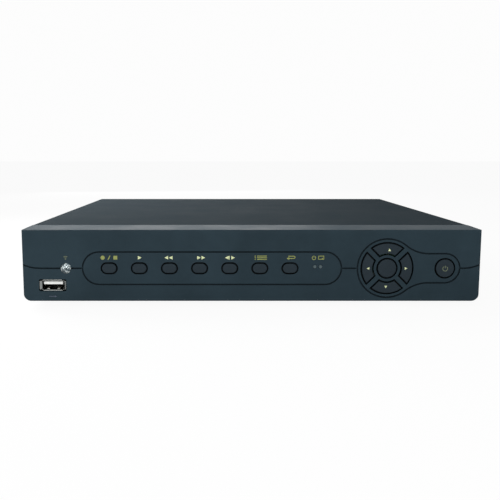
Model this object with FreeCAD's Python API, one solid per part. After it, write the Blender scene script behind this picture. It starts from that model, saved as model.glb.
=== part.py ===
"""Small desktop surveillance recorder: bezel, push keys, sheet-steel case, drive, boards, fan and jacks.

Millimetres. X runs to the right, Y to the rear and Z up. The origin lies on the surface that the
feet stand on, under the middle of the object's box. Each function makes one sub-part.
"""

import FreeCAD
import Part
import math
import os

from FreeCAD import Vector

os.makedirs("parts", exist_ok=True)

# ------------------------------------------------------------------ overall sizes
WIDTH = 260.0  # over the bezel
BODY_HEIGHT = 41.4  # bezel's lower edge to the cover's top face
BODY_DEPTH = 238.0  # bezel's front face to the cover's rear lip
CONNECTOR_REACH = 12.0  # video connectors, past the cover's rear lip
FOOT_HEIGHT = 4.0
BEZEL_DEPTH = 21.0
BEZEL_FALL = 0.55  # the bezel's top face slopes down by this to its front edge
LENS_PROUD = 0.9  # the lens's dome, in front of the bezel's face

FRONT = -(BODY_DEPTH + CONNECTOR_REACH - LENS_PROUD) / 2
BACK = FRONT + BODY_DEPTH
BASE = FOOT_HEIGHT
TOP = BASE + BODY_HEIGHT
SIDE = WIDTH / 2

# ------------------------------------------------------------------ clearances
PAST = 1.0  # how far a cutting shape runs past what it cuts
SEAT = 0.1  # between pieces that are screwed or clipped together
SHEET_GAP = 0.3  # between bent sheets that slide over each other
RUNNING = 0.08  # radial clearance of the fan's shaft

# ------------------------------------------------------------------ bezel
BEZEL_WALL = 2.2
BEZEL_PLAN_RADIUS = 1.0
BEZEL_FOOT_RADIUS = 4.8
BEZEL_TOP_RADIUS = 0.8
BEZEL_EDGE_RADIUS = 1.4  # front edge, above
BEZEL_SILL_RADIUS = 0.6  # front edge, below
GROOVE_WIDTH = 0.9
GROOVE_DEPTH = 0.7
LINE_HEIGHT = BASE + 19.0  # the level that keys, lens and grooves share
CAPSULE_LEFT = -SIDE + 34.2
CAPSULE_RIGHT = SIDE - 78.9
CAPSULE_HEIGHT = 18.7
CURL_LENGTH = 10.0  # where the middle groove bends up beside each end
CURL_RISE = 2.3
BOSS_RADIUS = 2.8
BOSS_BORE = 1.1
BOSS_SIDE_INSET = 12.0  # upper bosses, from the bezel's ends
BOSS_DROP = 9.9  # upper bosses, below the cover's top face
BOSS_RISE = 6.5  # lower bosses, above the bezel's lower edge
BOSS_KEY_GAPS = (2, 6)  # the lower bosses stand under these gaps between function keys
CLIP_WIDTH = 14.0
CLIP_THICKNESS = 1.6
CLIP_REACH = 4.0  # past the bezel's rear edge
CLIP_HOOK = 1.2
CLIP_ROOT = 4.0  # along the bezel's wall
CLIP_INSET = 38.0  # from the bezel's end to the clip's middle

# ------------------------------------------------------------------ keys
KEY_GAP = 0.85
KEY_PROUD = 0.6
KEY_CHAMFER = 0.35
KEY_TRAVEL = 0.5
FLANGE_GAP = 0.25
FLANGE_THICKNESS = 1.0
FLANGE_WALL_GAP = 0.3  # between a flange and the bezel's floor or roof
FLANGE_LIP = 1.3  # how far a flange reaches past its hole
POST = 2.8
FLANGE_FRONT = FRONT + BEZEL_WALL + FLANGE_GAP
FLANGE_BACK = FLANGE_FRONT + FLANGE_THICKNESS
CAP_SPAN = (FRONT - KEY_PROUD, FLANGE_BACK)
FLANGE_SPAN = (FLANGE_FRONT, FLANGE_BACK)

KEY_NAMES = ("record", "play", "rewind", "forward", "frame", "menu", "escape")
FIRST_KEY = CAPSULE_LEFT + 15.1
KEY_PITCH = 17.1
KEY_WIDTH = 8.1
KEY_HEIGHT = 5.3

NAV_X = SIDE - 53.05
NAV_GROOVE_RADIUS = 16.8
NAV_OUTER = 14.2
NAV_INNER = 8.45
NAV_GAP = 0.9
NAV_RIB = 2.5  # between neighbouring holes
ENTER_RADIUS = 5.2
ENTER_LIP = 1.0  # how far its flange reaches past its hole
POWER_X = SIDE - 20.2
POWER_RADIUS = 5.1
POWER_GROOVE_RADIUS = 8.4
RACKET_FILLET = 20.0
NAV_DIRECTIONS = {"right": 0, "up": 90, "left": 180, "down": 270}

# ------------------------------------------------------------------ lens, lamps and front socket
LENS_X = -SIDE + 24.6
LENS_RADIUS = 2.9
LENS_BEVEL = 0.9  # round the dome's flat middle
LENS_BEVEL_RISE = 0.55
LENS_GAP = 0.15
LENS_COLLAR = 1.2  # the collar's reach and thickness behind the wall
RECEIVER_WIDTH = 6.0
RECEIVER_HEIGHT = 7.0
RECEIVER_DEPTH = 3.0
RECEIVER_NOSE = 2.4
LAMP_X = CAPSULE_LEFT + 131.8
LAMP_Z = LINE_HEIGHT + 0.9
LAMP_PITCH = 3.2
LAMP_RADIUS = 0.9
LAMP_CHIP = 2.0
LAMP_CHIP_DEPTH = 1.0
LAMP_PROUD = 0.2
FRONT_USB_X = -SIDE + 16.9
FRONT_USB_Z = BASE + 9.2

# ------------------------------------------------------------------ front board
BOARD_THICKNESS = 1.6
FRONT_BOARD_SETBACK = 13.2  # bezel's front face to the board's front
FRONT_BOARD_INSET = 8.0  # from the bezel's end
FRONT_BOARD_FLOOR = 4.0  # above the bezel's lower edge
FRONT_BOARD_DROP = 5.9  # below the cover's top face
BOARD_SCREW_BITE = 6.0  # into the bezel's bosses, with the board
SWITCH_SIZE = 6.0
SWITCH_DEPTH = 3.5
SWITCH_BORE_DEPTH = 2.2
POST_ENTRY = 0.8
FRONT_BOARD = FRONT + FRONT_BOARD_SETBACK

# ------------------------------------------------------------------ sheet metal
SHEET = 1.0
COVER_SHEET = 0.8
COVER_BEND = 1.2  # outer radius of the cover's bends
COVER_LIP = 7.0
COVER_LIP_INSET = 1.0
TRAY_SIDE_HEIGHT = 15.0
TRAY_LIP = 9.0
WINDOW_LENGTH = 84.0  # the tray's two cable windows
WINDOW_BAR = 16.0  # left between them
WINDOW_MARGIN = 15.1  # from the right window's end to the ribbon that comes through it
WINDOW_RISE = 5.0
WINDOW_DROP = 7.0
WINDOW_RADIUS = 2.0
PANEL_FLANGE = 10.0

CASE_FRONT = FRONT + BEZEL_DEPTH + SHEET_GAP
CEILING = TOP - COVER_SHEET
FLOOR = BASE + SHEET
TRAY_SIDE = SIDE - COVER_SHEET - SHEET_GAP
PANEL_BACK = BACK - COVER_SHEET - SEAT
PANEL_FRONT = PANEL_BACK - SHEET

VENT_COUNT = 12
VENT_PITCH = 7.0
VENT_WIDTH = 2.4
VENT_HEIGHT = 15.0
VENT_SLANT = 5.0
VENT_START = 60.0  # first vent behind the case's front
VENT_RISE = 17.0  # above the case's underside

# ------------------------------------------------------------------ screws and feet
SCREW_RADIUS = 1.5
SCREW_HEAD_RADIUS = 2.8
SCREW_HEAD_HEIGHT = 1.5
SCREW_CLEARANCE = 0.1
PAN_TAPER = 0.5  # a pan head's top, narrower than its seat
SUNK_DEPTH = 1.2
SIDE_SCREW_LENGTH = 4.0
REAR_SCREW_LENGTH = 4.0
FAN_SCREW_LENGTH = 8.0
SIDE_SCREW_HEIGHT = BASE + 9.0
SIDE_SCREW_INSET = 24.0
REAR_SCREW_DROP = 4.0
REAR_SCREW_INSET = 20.0
FOOT_RADIUS = 8.0
FOOT_TAPER = 0.8
FOOT_SIDE_INSET = 22.0
FOOT_FRONT_INSET = 38.0
FOOT_BACK_INSET = 24.0

# ------------------------------------------------------------------ hard drive
DRIVE_LENGTH = 147.0
DRIVE_WIDTH = 101.6
DRIVE_HEIGHT = 26.1
DRIVE_LID = 1.2
DRIVE_BOARD_RECESS = 2.4
DRIVE_GAP_LEFT = 3.0
DRIVE_GAP_FRONT = 4.0
DRIVE_PAD_HEIGHT = 3.0
DRIVE_PAD_RADIUS = 5.0
DRIVE_RADIUS = 3.0
DRIVE_BOARD_START = 45.0  # the board's recess, from the plain end
DRIVE_BOARD_EDGE = 9.0  # the recess, from the long sides
DRIVE_SCALLOP = (50.0, 2.5, 12.0)  # the side recess: end inset, depth and height
DRIVE_BORE_DEPTH = 6.0
DRIVE_LID_INSET = 1.5
DRIVE_LID_RADIUS = 6.0
DRIVE_LID_RAISE = 0.5
DRIVE_LID_MARGIN = 6.0  # round the raised field
DRIVE_BOARD_GAP = 1.0  # round the board in its recess
DRIVE_SOCKET_DEPTH = 5.0
DRIVE_SOCKET_MARGIN = 3.0
DRIVE_SCREW_ENDS = (29.5, 105.7)  # from the plain end
DRIVE_SCREW_EDGE = 3.2
DRIVE_SCREW_BITE = 4.0
DRIVE_LEFT = -TRAY_SIDE + SHEET + DRIVE_GAP_LEFT
DRIVE_RIGHT = DRIVE_LEFT + DRIVE_LENGTH
DRIVE_FRONT = CASE_FRONT + SHEET + DRIVE_GAP_FRONT + TRAY_LIP
DRIVE_BACK = DRIVE_FRONT + DRIVE_WIDTH
DRIVE_UNDER = FLOOR + DRIVE_PAD_HEIGHT

# ------------------------------------------------------------------ main board
STANDOFF = 4.0
STANDOFF_FLATS = 5.5
STANDOFF_FLOOR = 1.0  # left under the bore
BOARD_SCREW_SETBACK = 1.0  # from the bore's end to the screw's
BOARD_SIDE_GAP = 6.0
BOARD_RADIUS = 2.0
BOARD_REAR_HOLE = 26.0  # rear row of holes, from the board's rear edge
BOARD_LEFT = -TRAY_SIDE + SHEET + BOARD_SIDE_GAP
BOARD_DEPTH = 96.0
BOARD_PANEL_GAP = 1.0
BOARD_BACK = PANEL_FRONT - BOARD_PANEL_GAP
BOARD_FRONT = BOARD_BACK - BOARD_DEPTH
BOARD_UNDER = FLOOR + STANDOFF
BOARD_TOP = BOARD_UNDER + BOARD_THICKNESS
BOARD_HOLE_INSET = 5.0

# ------------------------------------------------------------------ fan
FAN_SIZE = 30.0
FAN_DEPTH = 10.0
FAN_WALL = 0.9  # duct to the frame's flat side
FAN_CORNER = 2.5
FAN_HOLE_PITCH = 24.0
FAN_HOLE_RADIUS = 1.6
FAN_TIP_GAP = 0.6
FAN_HUB_RADIUS = 7.5
FAN_HUB_WALL = 1.0
FAN_BLADES = 7
FAN_BLADE_THICKNESS = 0.9
FAN_ROOT_PITCH = 44.0  # degrees
FAN_TIP_PITCH = 28.0
FAN_ROOT_CHORD = 6.2
FAN_TIP_CHORD = 7.6
FAN_SHAFT_RADIUS = 1.0
FAN_TUBE_RADIUS = 2.4
FAN_TUBE_SETBACK = 2.6  # bearing tube's end, in front of the fan's rear face
FAN_SHAFT_SETBACK = 1.2
FAN_BORE_FLOOR = 0.6
FAN_HUB_SETBACK = 0.6
FAN_HUB_GAP = 0.5  # struts to hub
FAN_STRUTS = 3
GRILLE_SLOTS = 7
GRILLE_PITCH = 3.6
GRILLE_SLOT = 2.2
GRILLE_MARGIN = 0.4
GRILLE_BAR = 2.0
FAN_STRUT_WIDTH = 2.4
FAN_STRUT_DEPTH = 1.4
FAN_CLEAR = 1.0  # beside the fan, in the rear panel's foot
FAN_LIFT = 1.0
FAN_BOARD_GAP = 4.0
FAN_X = SIDE - 26.0
FAN_Z = FLOOR + FAN_LIFT + FAN_SIZE / 2
FAN_BACK = PANEL_FRONT - SEAT
FAN_FRONT = FAN_BACK - FAN_DEPTH
FAN_DUCT = FAN_SIZE / 2 - FAN_WALL
BOARD_RIGHT = FAN_X - FAN_SIZE / 2 - FAN_BOARD_GAP

# ------------------------------------------------------------------ rear connectors
JACK_GAP = 0.3  # round each connector in its panel hole
BNC_PITCH_X = 17.5
BNC_PITCH_Z = 15.2
BNC_BODY = 14.4
BNC_BODY_DEPTH = 15.0
BNC_NECK_RADIUS = 6.2
BNC_NECK_REACH = 2.2
BNC_RADIUS = 4.85
BNC_BORE = 4.05
BNC_BORE_DEPTH = 8.5
BNC_LUG_FLATS = 1.7
BNC_LUG_REACH = 0.75
BNC_LUG_SETBACK = 5.2
BNC_CORE_RADIUS = 2.4
BNC_CORE_SETBACK = 1.0
BNC_FIRST_X = BOARD_RIGHT - 10.0
LOW_ROW = BOARD_TOP + 7.6
HIGH_ROW = LOW_ROW + BNC_PITCH_Z
BNC_PLACES = (
    (BNC_FIRST_X, LOW_ROW),
    (BNC_FIRST_X, HIGH_ROW),
    (BNC_FIRST_X - BNC_PITCH_X, LOW_ROW),
    (BNC_FIRST_X - BNC_PITCH_X, HIGH_ROW),
    (BNC_FIRST_X - 2 * BNC_PITCH_X, LOW_ROW),
)

PHONO_PITCH_X = 13.5
PHONO_PITCH_Z = 14.0
PHONO_BODY = 10.6
PHONO_BODY_DEPTH = 12.0
PHONO_RADIUS = 4.15
PHONO_WALL = 0.7
PHONO_HOLE = 1.7
PHONO_REACH = 8.5
PHONO_FLOOR = 1.0
PHONO_RECESS = 0.6  # from the sleeve's mouth to its ring
PHONO_GAP = 0.8  # room for the plug's sleeve in the panel
PHONO_FIRST_X = BNC_FIRST_X - 2 * BNC_PITCH_X - 16.5
PHONO_LOW = BOARD_TOP + 5.6
PHONO_PLACES = (
    (PHONO_FIRST_X, PHONO_LOW),
    (PHONO_FIRST_X, PHONO_LOW + PHONO_PITCH_Z),
    (PHONO_FIRST_X - PHONO_PITCH_X, PHONO_LOW),
    (PHONO_FIRST_X - PHONO_PITCH_X, PHONO_LOW + PHONO_PITCH_Z),
    (PHONO_FIRST_X - 2 * PHONO_PITCH_X, PHONO_LOW),
)

VGA_X = PHONO_PLACES[4][0] - 25.0
VGA_Z = BOARD_TOP + 6.6
VGA_WIDTH = 16.6  # mouth, over its longer side
VGA_HEIGHT = 8.3
VGA_SKEW = 1.1  # how much each end leans in
VGA_REACH = 5.6
VGA_SHELL = 0.5
VGA_CORNER = 2.0
VGA_RECESS = 0.6  # from the shell's mouth to the contact block
VGA_CONTACT = 0.9
VGA_CONTACT_DEPTH = 3.0
VGA_CONTACT_PITCH = 2.29
VGA_ROW_PITCH = 1.98
VGA_STAGGER = 0.57  # between neighbouring rows
VGA_FLANGE = 1.0
VGA_FLANGE_WIDTH = 30.8
VGA_FLANGE_HEIGHT = 12.5
VGA_BODY_DEPTH = 11.0
VGA_BODY_RISE = 6.0  # over the mouth's middle
VGA_POST_SPACING = 25.0
VGA_POST_FLATS = 4.75
VGA_POST_REACH = 5.0
VGA_POST_BORE = 1.2
VGA_POST_SHANK = 1.5
VGA_POST_SHANK_REACH = 4.0  # in front of the panel
VGA_POST_HOLE = 1.6
VGA_POST_PASS = 1.9  # in the contact block
VGA_POST_BORE_DEPTH = 4.5

LAN_X = VGA_X - 29.0
LAN_WIDTH = 16.0
LAN_HEIGHT = 13.4
LAN_DEPTH = 18.0
LAN_MOUTH_WIDTH = 11.9
LAN_MOUTH_HEIGHT = 8.2
LAN_MOUTH_DEPTH = 13.5
LAN_NOTCH_WIDTH = 6.2
LAN_NOTCH_HEIGHT = 2.2
LAN_LIFT = 1.8
LAN_PROUD = 0.5

REAR_USB_X = LAN_X - 19.0
REAR_USB_Z = BOARD_TOP + 4.4
REAR_USB_PROUD = 1.0

USB_WIDTH = 13.1
USB_HEIGHT = 5.6
USB_SHELL = 0.35
USB_DEPTH = 13.0
USB_FLARE = 1.0  # how far the side lips lean out
USB_FLARE_RISE = 0.4  # the same for the upper and lower lips
USB_FLARE_DEPTH = 0.9
USB_LIP_GAP = 1.1  # the upper and lower lips end before the shell's corners
USB_HOLE_CORNER = 1.0
USB_TONGUE_WIDTH = 10.8
USB_TONGUE_HEIGHT = 1.6
USB_TONGUE_DROP = 0.6  # below the shell's roof
USB_TONGUE_SETBACK = 0.8
USB_BACK = 1.6

TERMINAL_X = REAR_USB_X - 16.5
TERMINAL_WIDTH = 11.0
TERMINAL_HEIGHT = 10.0
TERMINAL_DEPTH = 9.0
TERMINAL_POLE_PITCH = 5.08
TERMINAL_PROUD = 2.0
TERMINAL_WIRE_SIZE = 2.6
TERMINAL_WIRE_RISE = 3.6
TERMINAL_WIRE_DEPTH = 4.0
TERMINAL_SCREW_RADIUS = 1.5
TERMINAL_SCREW_RISE = 7.4
TERMINAL_SCREW_DEPTH = 1.5

POWER_JACK_X = TERMINAL_X - 14.0
POWER_JACK_WIDTH = 9.0
POWER_JACK_HEIGHT = 11.0
POWER_JACK_DEPTH = 14.0
POWER_JACK_BORE = 3.0
POWER_JACK_BORE_DEPTH = 9.5
POWER_JACK_PIN = 1.0
POWER_JACK_PROUD = 0.6
POWER_JACK_LEVEL = BOARD_TOP + 6.1
POWER_PIN_SETBACK = 0.8

# ------------------------------------------------------------------ parts on the main board
PROCESSOR_SIZE = 23.0
PROCESSOR_HEIGHT = 1.4
SINK_SIZE = 30.0
SINK_BASE = 2.0
SINK_HEIGHT = 9.0
SINK_FINS = 9
SINK_FIN = 1.0
SINK_X = -8.0
SINK_Y = BOARD_FRONT + 42.0
CHIP_ROWS = 2  # memory chips, in as many columns
CHIP_SIZE = (10.0, 13.0)
CHIP_HEIGHT = 1.1
CHIP_PITCH = 15.0
CHIP_OFFSET = 10.0  # from the heat sink's side to the first column's middle
DECODERS = 2
DECODER_SIZE = 14.0
DECODER_PITCH = 28.0
DECODER_SETBACK = 42.0  # from the board's rear edge
CAPACITORS = 4
CAPACITOR_INSET = 14.0  # from the board's left edge
CAPACITOR_SETBACK = 40.0  # from the board's rear edge
CAPACITOR_RADIUS = 4.0
CAPACITOR_HEIGHT = 9.5
CAPACITOR_PITCH = 11.0
COIN_RADIUS = 10.0
COIN_THICKNESS = 3.2
COIN_WALL = 1.4
COIN_RIM = 2.6  # the cup's rim over its floor
COIN_NOTCH = 8.0
COIN_X = BOARD_RIGHT - 30.0
COIN_Y = BOARD_FRONT + 26.0

# ------------------------------------------------------------------ inner leads
RIBBON_WIDTH = 16.0
RIBBON_THICKNESS = 1.0
RIBBON_RADIUS = 5.0
RIBBON_X = DRIVE_RIGHT + 9.0
RIBBON_PLUG = (20.0, 6.0, 5.0)  # along X, across and away from its board
RIBBON_FRONT_Z = LINE_HEIGHT + 4.0
RIBBON_LIFT = 0.3
RIBBON_DROP = 12.0  # where it turns down, behind the tray's front wall
RIBBON_TURN = 9.0  # where it turns up, in front of the main board
RIBBON_ARCH = 7.0  # over its plug on the main board
RIBBON_HEADER = 7.0  # that plug, from the board's front edge
RIBBON_BITE = 0.5  # into each plug
LEAD_RADIUS = 9.0
LEAD_BITE = 1.0  # into its plug
SATA_THICKNESS = 2.0
SATA_HEIGHT = 7.6
SATA_PLUG = 12.0
SATA_BOARD_PLUG = 10.0
SATA_REACH = 25.0  # from the drive's right end to the lead's long run
SATA_Y = DRIVE_FRONT + 68.0
SUPPLY_THICKNESS = 2.6
SUPPLY_HEIGHT = 9.0
SUPPLY_PLUG = 22.0
SUPPLY_BOARD_PLUG = 12.0
SUPPLY_REACH = 42.0
SUPPLY_Y = DRIVE_FRONT + 46.0
PLUG_LENGTH = 12.0
LEAD_HEIGHT = DRIVE_UNDER + 3.4


# ------------------------------------------------------------------ shape helpers
def box(x_span, y_span, z_span):
    """A block between the low and high ends of three spans."""
    corner = Vector(x_span[0], y_span[0], z_span[0])
    return Part.makeBox(x_span[1] - x_span[0], y_span[1] - y_span[0], z_span[1] - z_span[0], corner)


def around(middle, size):
    """The span of a size centred on middle."""
    return (middle - size / 2, middle + size / 2)


def rod(x, z, radius, y_low, y_high):
    """A cylinder that runs from front to rear."""
    return Part.makeCylinder(radius, y_high - y_low, Vector(x, y_low, z), Vector(0, 1, 0))


def pillar(x, y, radius, z_low, z_high):
    """An upright cylinder."""
    return Part.makeCylinder(radius, z_high - z_low, Vector(x, y, z_low), Vector(0, 0, 1))


def outline(corners, place):
    """A closed wire through corners (u, v, radius), each rounded to its radius; place maps u, v to space."""
    starts = []
    edges = []
    count = len(corners)
    for index in range(count):
        u, v, radius = corners[index]
        here = Vector(u, v, 0)
        back = (Vector(corners[index - 1][0], corners[index - 1][1], 0) - here).normalize()
        ahead_corner = corners[(index + 1) % count]
        ahead = (Vector(ahead_corner[0], ahead_corner[1], 0) - here).normalize()
        if radius == 0:
            starts.append((here, here))
            continue
        half = back.getAngle(ahead) / 2
        reach = radius / math.tan(half)
        middle = here + (back + ahead).normalize() * (radius / math.sin(half) - radius)
        first = here + back * reach
        last = here + ahead * reach
        starts.append((first, last))
        arc = Part.Arc(place(first.x, first.y), place(middle.x, middle.y), place(last.x, last.y))
        edges.append(arc.toShape())
    for index in range(count):
        last = starts[index][1]
        following = starts[(index + 1) % count][0]
        if last.distanceToPoint(following) > 1e-6:
            edges.append(Part.makeLine(place(last.x, last.y), place(following.x, following.y)))
    return Part.Wire(Part.__sortEdges__(edges))


def front_prism(corners, y_low, y_high):
    """An outline in X and Z, drawn out from y_low to y_high."""
    wire = outline(corners, lambda u, v: Vector(u, y_low, v))
    return Part.Face(wire).extrude(Vector(0, y_high - y_low, 0))


def plan_prism(corners, z_low, z_high):
    """An outline in X and Y, drawn up from z_low to z_high."""
    wire = outline(corners, lambda u, v: Vector(u, v, z_low))
    return Part.Face(wire).extrude(Vector(0, 0, z_high - z_low))


def side_prism(corners, x_low, x_high):
    """An outline in Y and Z, drawn out from x_low to x_high."""
    wire = outline(corners, lambda u, v: Vector(x_low, u, v))
    return Part.Face(wire).extrude(Vector(x_high - x_low, 0, 0))


def rectangle(u_span, v_span, radius=0):
    """The corners of a rectangle with one radius all round."""
    return [
        (u_span[0], v_span[0], radius),
        (u_span[1], v_span[0], radius),
        (u_span[1], v_span[1], radius),
        (u_span[0], v_span[1], radius),
    ]


def hexagon(u, v, flats):
    """The corners of a hexagon about a point, by its width over flats."""
    corner = flats / math.sqrt(3)
    angles = [math.radians(60 * index) for index in range(6)]
    return [(u + corner * math.cos(angle), v + corner * math.sin(angle), 0) for angle in angles]


def slot_prism(x, z, width, height, y_low, y_high):
    """A slot with round ends, seen from the front."""
    return front_prism(rectangle(around(x, width), around(z, height), height / 2 - 1e-4), y_low, y_high)


def turned(profile, x, z):
    """A solid turned about a front-to-rear axis; the profile's corners are (y, radius)."""
    points = [Vector(radius, y, 0) for y, radius in profile]
    face = Part.Face(Part.makePolygon(points + [points[0]]))
    return face.revolve(Vector(0, 0, 0), Vector(0, 1, 0), 360).translated(Vector(x, 0, z))


def turned_up(profile, x, y):
    """A solid turned about an upright axis; the profile's corners are (z, radius)."""
    points = [Vector(radius, 0, z) for z, radius in profile]
    face = Part.Face(Part.makePolygon(points + [points[0]]))
    return face.revolve(Vector(0, 0, 0), Vector(0, 0, 1), 360).translated(Vector(x, y, 0))


def fuse(shapes):
    """One solid from shapes that meet."""
    return shapes[0].multiFuse(shapes[1:]).removeSplitter()


def cut(shape, tools):
    """A shape less every tool."""
    return shape.cut(Part.makeCompound(tools))


def chamfer_front(shape, y_front, size):
    """A shape with the edges that lie in its front face chamfered."""
    edges = [edge for edge in shape.Edges if all(abs(v.Y - y_front) < 1e-6 for v in edge.Vertexes)]
    return shape.makeChamfer(size, edges)


def band(points, radius, thickness, place, draw):
    """A strip of even thickness along points, its corners bent to radius, drawn out by a vector."""
    left = []
    right = []
    line = [Vector(u, v, 0) for u, v in points]
    for index, here in enumerate(line):
        ahead = line[min(index + 1, len(line) - 1)]
        back = line[max(index - 1, 0)]
        if index in (0, len(line) - 1):
            along = (ahead - back).normalize()
            across = Vector(-along.y, along.x, 0) * (thickness / 2)
            left.append((here + across, 0))
            right.append((here - across, 0))
            continue
        into = (here - back).normalize()
        out = (ahead - here).normalize()
        normal_in = Vector(-into.y, into.x, 0)
        normal_out = Vector(-out.y, out.x, 0)
        across = (normal_in + normal_out) * (thickness / 2 / (1 + normal_in.dot(normal_out)))
        turn = into.x * out.y - into.y * out.x
        inner = radius - thickness / 2
        outer = radius + thickness / 2
        left.append((here + across, inner if turn > 0 else outer))
        right.append((here - across, outer if turn > 0 else inner))
    corners = [(point.x, point.y, bend) for point, bend in left + right[::-1]]
    return Part.Face(outline(corners, place)).extrude(draw)


def export(name, shapes):
    """Write one sub-part: a solid, or a group of separate solids."""
    listed = shapes if isinstance(shapes, list) else [shapes]
    solids = [solid for shape in listed for solid in shape.Solids]
    for solid in solids:
        if not solid.isValid() or solid.Volume <= 0:
            raise ValueError("sub-part " + name + " has a solid that isn't sound")
    whole = solids[0] if len(solids) == 1 else Part.makeCompound(solids)
    whole.exportStep("parts/" + name + ".step")


# ------------------------------------------------------------------ bezel and its keys
def bezel_form(inset, y_front):
    """The bezel's outer form moved in by inset: its front, plan and side outlines, met in one solid."""
    half = SIDE - inset
    low = BASE + inset
    high = TOP - inset
    back = FRONT + BEZEL_DEPTH
    top_radius = max(BEZEL_TOP_RADIUS - inset, 0)
    foot_radius = max(BEZEL_FOOT_RADIUS - inset, 0)
    edge_radius = max(BEZEL_EDGE_RADIUS - inset, 0)
    sill_radius = max(BEZEL_SILL_RADIUS - inset, 0)
    plan_radius = max(BEZEL_PLAN_RADIUS - inset, 0)
    seen = [
        (-half, low, foot_radius),
        (half, low, foot_radius),
        (half, high, top_radius),
        (-half, high, top_radius),
    ]
    plan = [
        (-half, y_front, plan_radius),
        (half, y_front, plan_radius),
        (half, back, 0),
        (-half, back, 0),
    ]
    profile = [
        (y_front, low, sill_radius),
        (back, low, 0),
        (back, high, 0),
        (y_front, high - BEZEL_FALL, edge_radius),
    ]
    form = front_prism(seen, y_front, back)
    form = form.common(plan_prism(plan, low, high))
    return form.common(side_prism(profile, -half, half))


def racket(grow):
    """The closed wire round the direction keys and the power key, grown by grow."""
    big = NAV_GROOVE_RADIUS
    small = POWER_GROOVE_RADIUS
    run = math.sqrt((big + RACKET_FILLET) ** 2 - (small + RACKET_FILLET) ** 2)
    middle_angle = math.atan2(-(small + RACKET_FILLET), -run)
    edges = []
    ends = {}
    for sense in (1, -1):
        centre = Vector(NAV_X + run, FRONT, LINE_HEIGHT + sense * (small + RACKET_FILLET))
        bend = RACKET_FILLET - grow
        on_line = centre + Vector(0, 0, -sense * bend)
        on_circle = centre + Vector(math.cos(middle_angle), 0, sense * math.sin(middle_angle)) * bend
        half_angle = (middle_angle - math.pi / 2) / 2
        between = centre + Vector(math.cos(half_angle), 0, sense * math.sin(half_angle)) * bend
        edges.append(Part.Arc(on_line, between, on_circle).toShape())
        tip = Vector(POWER_X, FRONT, LINE_HEIGHT + sense * (small + grow))
        edges.append(Part.makeLine(tip, on_line))
        ends[sense] = (on_circle, tip)
    left = Vector(NAV_X - big - grow, FRONT, LINE_HEIGHT)
    right = Vector(POWER_X + small + grow, FRONT, LINE_HEIGHT)
    edges.append(Part.Arc(ends[1][0], left, ends[-1][0]).toShape())
    edges.append(Part.Arc(ends[1][1], right, ends[-1][1]).toShape())
    return Part.Wire(Part.__sortEdges__(edges))


def racket_groove():
    """The groove round the direction keys and the power key."""
    outer = Part.Face(racket(GROOVE_WIDTH / 2)).extrude(Vector(0, GROOVE_DEPTH, 0))
    inner = Part.Face(racket(-GROOVE_WIDTH / 2)).extrude(Vector(0, GROOVE_DEPTH, 0))
    return outer.cut(inner)


def capsule_groove():
    """The groove round the row of function keys."""
    middle = (CAPSULE_LEFT + CAPSULE_RIGHT) / 2
    length = CAPSULE_RIGHT - CAPSULE_LEFT
    deep = FRONT + GROOVE_DEPTH
    outer = slot_prism(middle, LINE_HEIGHT, length + GROOVE_WIDTH, CAPSULE_HEIGHT + GROOVE_WIDTH, FRONT, deep)
    inner = slot_prism(middle, LINE_HEIGHT, length - GROOVE_WIDTH, CAPSULE_HEIGHT - GROOVE_WIDTH, FRONT, deep)
    return outer.cut(inner)


def line_grooves():
    """The groove along the middle of the front, which bends up beside each end."""
    half_width = GROOVE_WIDTH / 2
    deep = (FRONT, FRONT + GROOVE_DEPTH)
    level = around(LINE_HEIGHT, GROOVE_WIDTH)
    power_end = POWER_X + POWER_GROOVE_RADIUS
    spans = (
        (-SIDE + CURL_LENGTH, CAPSULE_LEFT),
        (CAPSULE_RIGHT, NAV_X - NAV_GROOVE_RADIUS),
        (power_end, SIDE - CURL_LENGTH),
    )
    grooves = [box(span, deep, level) for span in spans]
    radius = (CURL_LENGTH**2 + CURL_RISE**2) / (2 * CURL_RISE)
    for sense in (-1, 1):
        x_bend = sense * (SIDE - CURL_LENGTH)
        outer = rod(x_bend, LINE_HEIGHT + radius, radius + half_width, *deep)
        ring = outer.cut(rod(x_bend, LINE_HEIGHT + radius, radius - half_width, *deep))
        reach = sorted((x_bend, sense * (SIDE + PAST)))
        keep = box(reach, deep, (LINE_HEIGHT - half_width, LINE_HEIGHT + 2 * CURL_RISE))
        grooves.append(ring.common(keep))
    return grooves


def key_centres():
    """The function keys' centres along X."""
    return [FIRST_KEY + index * KEY_PITCH for index in range(len(KEY_NAMES))]


def nav_sector(name, outer, inner, rib, y_low, y_high):
    """One quarter of a ring about the centre key, cut off a rib's half width from each diagonal."""
    ring = rod(NAV_X, LINE_HEIGHT, outer, y_low, y_high).cut(rod(NAV_X, LINE_HEIGHT, inner, y_low, y_high))
    angle = math.radians(NAV_DIRECTIONS[name])
    start = rib / 2 * math.sqrt(2)
    reach = 2 * outer
    corners = [(start, 0, 0), (start + reach, reach, 0), (start + reach, -reach, 0)]
    placed = [
        (
            NAV_X + u * math.cos(angle) - v * math.sin(angle),
            LINE_HEIGHT + u * math.sin(angle) + v * math.cos(angle),
            radius,
        )
        for u, v, radius in corners
    ]
    return ring.common(front_prism(placed, y_low, y_high))


def key_holes(y_low, y_high):
    """The holes that the keys come through."""
    width = KEY_WIDTH + 2 * KEY_GAP
    height = KEY_HEIGHT + 2 * KEY_GAP
    outer = NAV_OUTER + NAV_GAP
    inner = NAV_INNER - NAV_GAP
    holes = [slot_prism(x, LINE_HEIGHT, width, height, y_low, y_high) for x in key_centres()]
    holes += [nav_sector(name, outer, inner, NAV_RIB, y_low, y_high) for name in NAV_DIRECTIONS]
    holes.append(rod(NAV_X, LINE_HEIGHT, ENTER_RADIUS + NAV_GAP, y_low, y_high))
    holes.append(rod(POWER_X, LINE_HEIGHT, POWER_RADIUS + KEY_GAP, y_low, y_high))
    return holes


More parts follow.
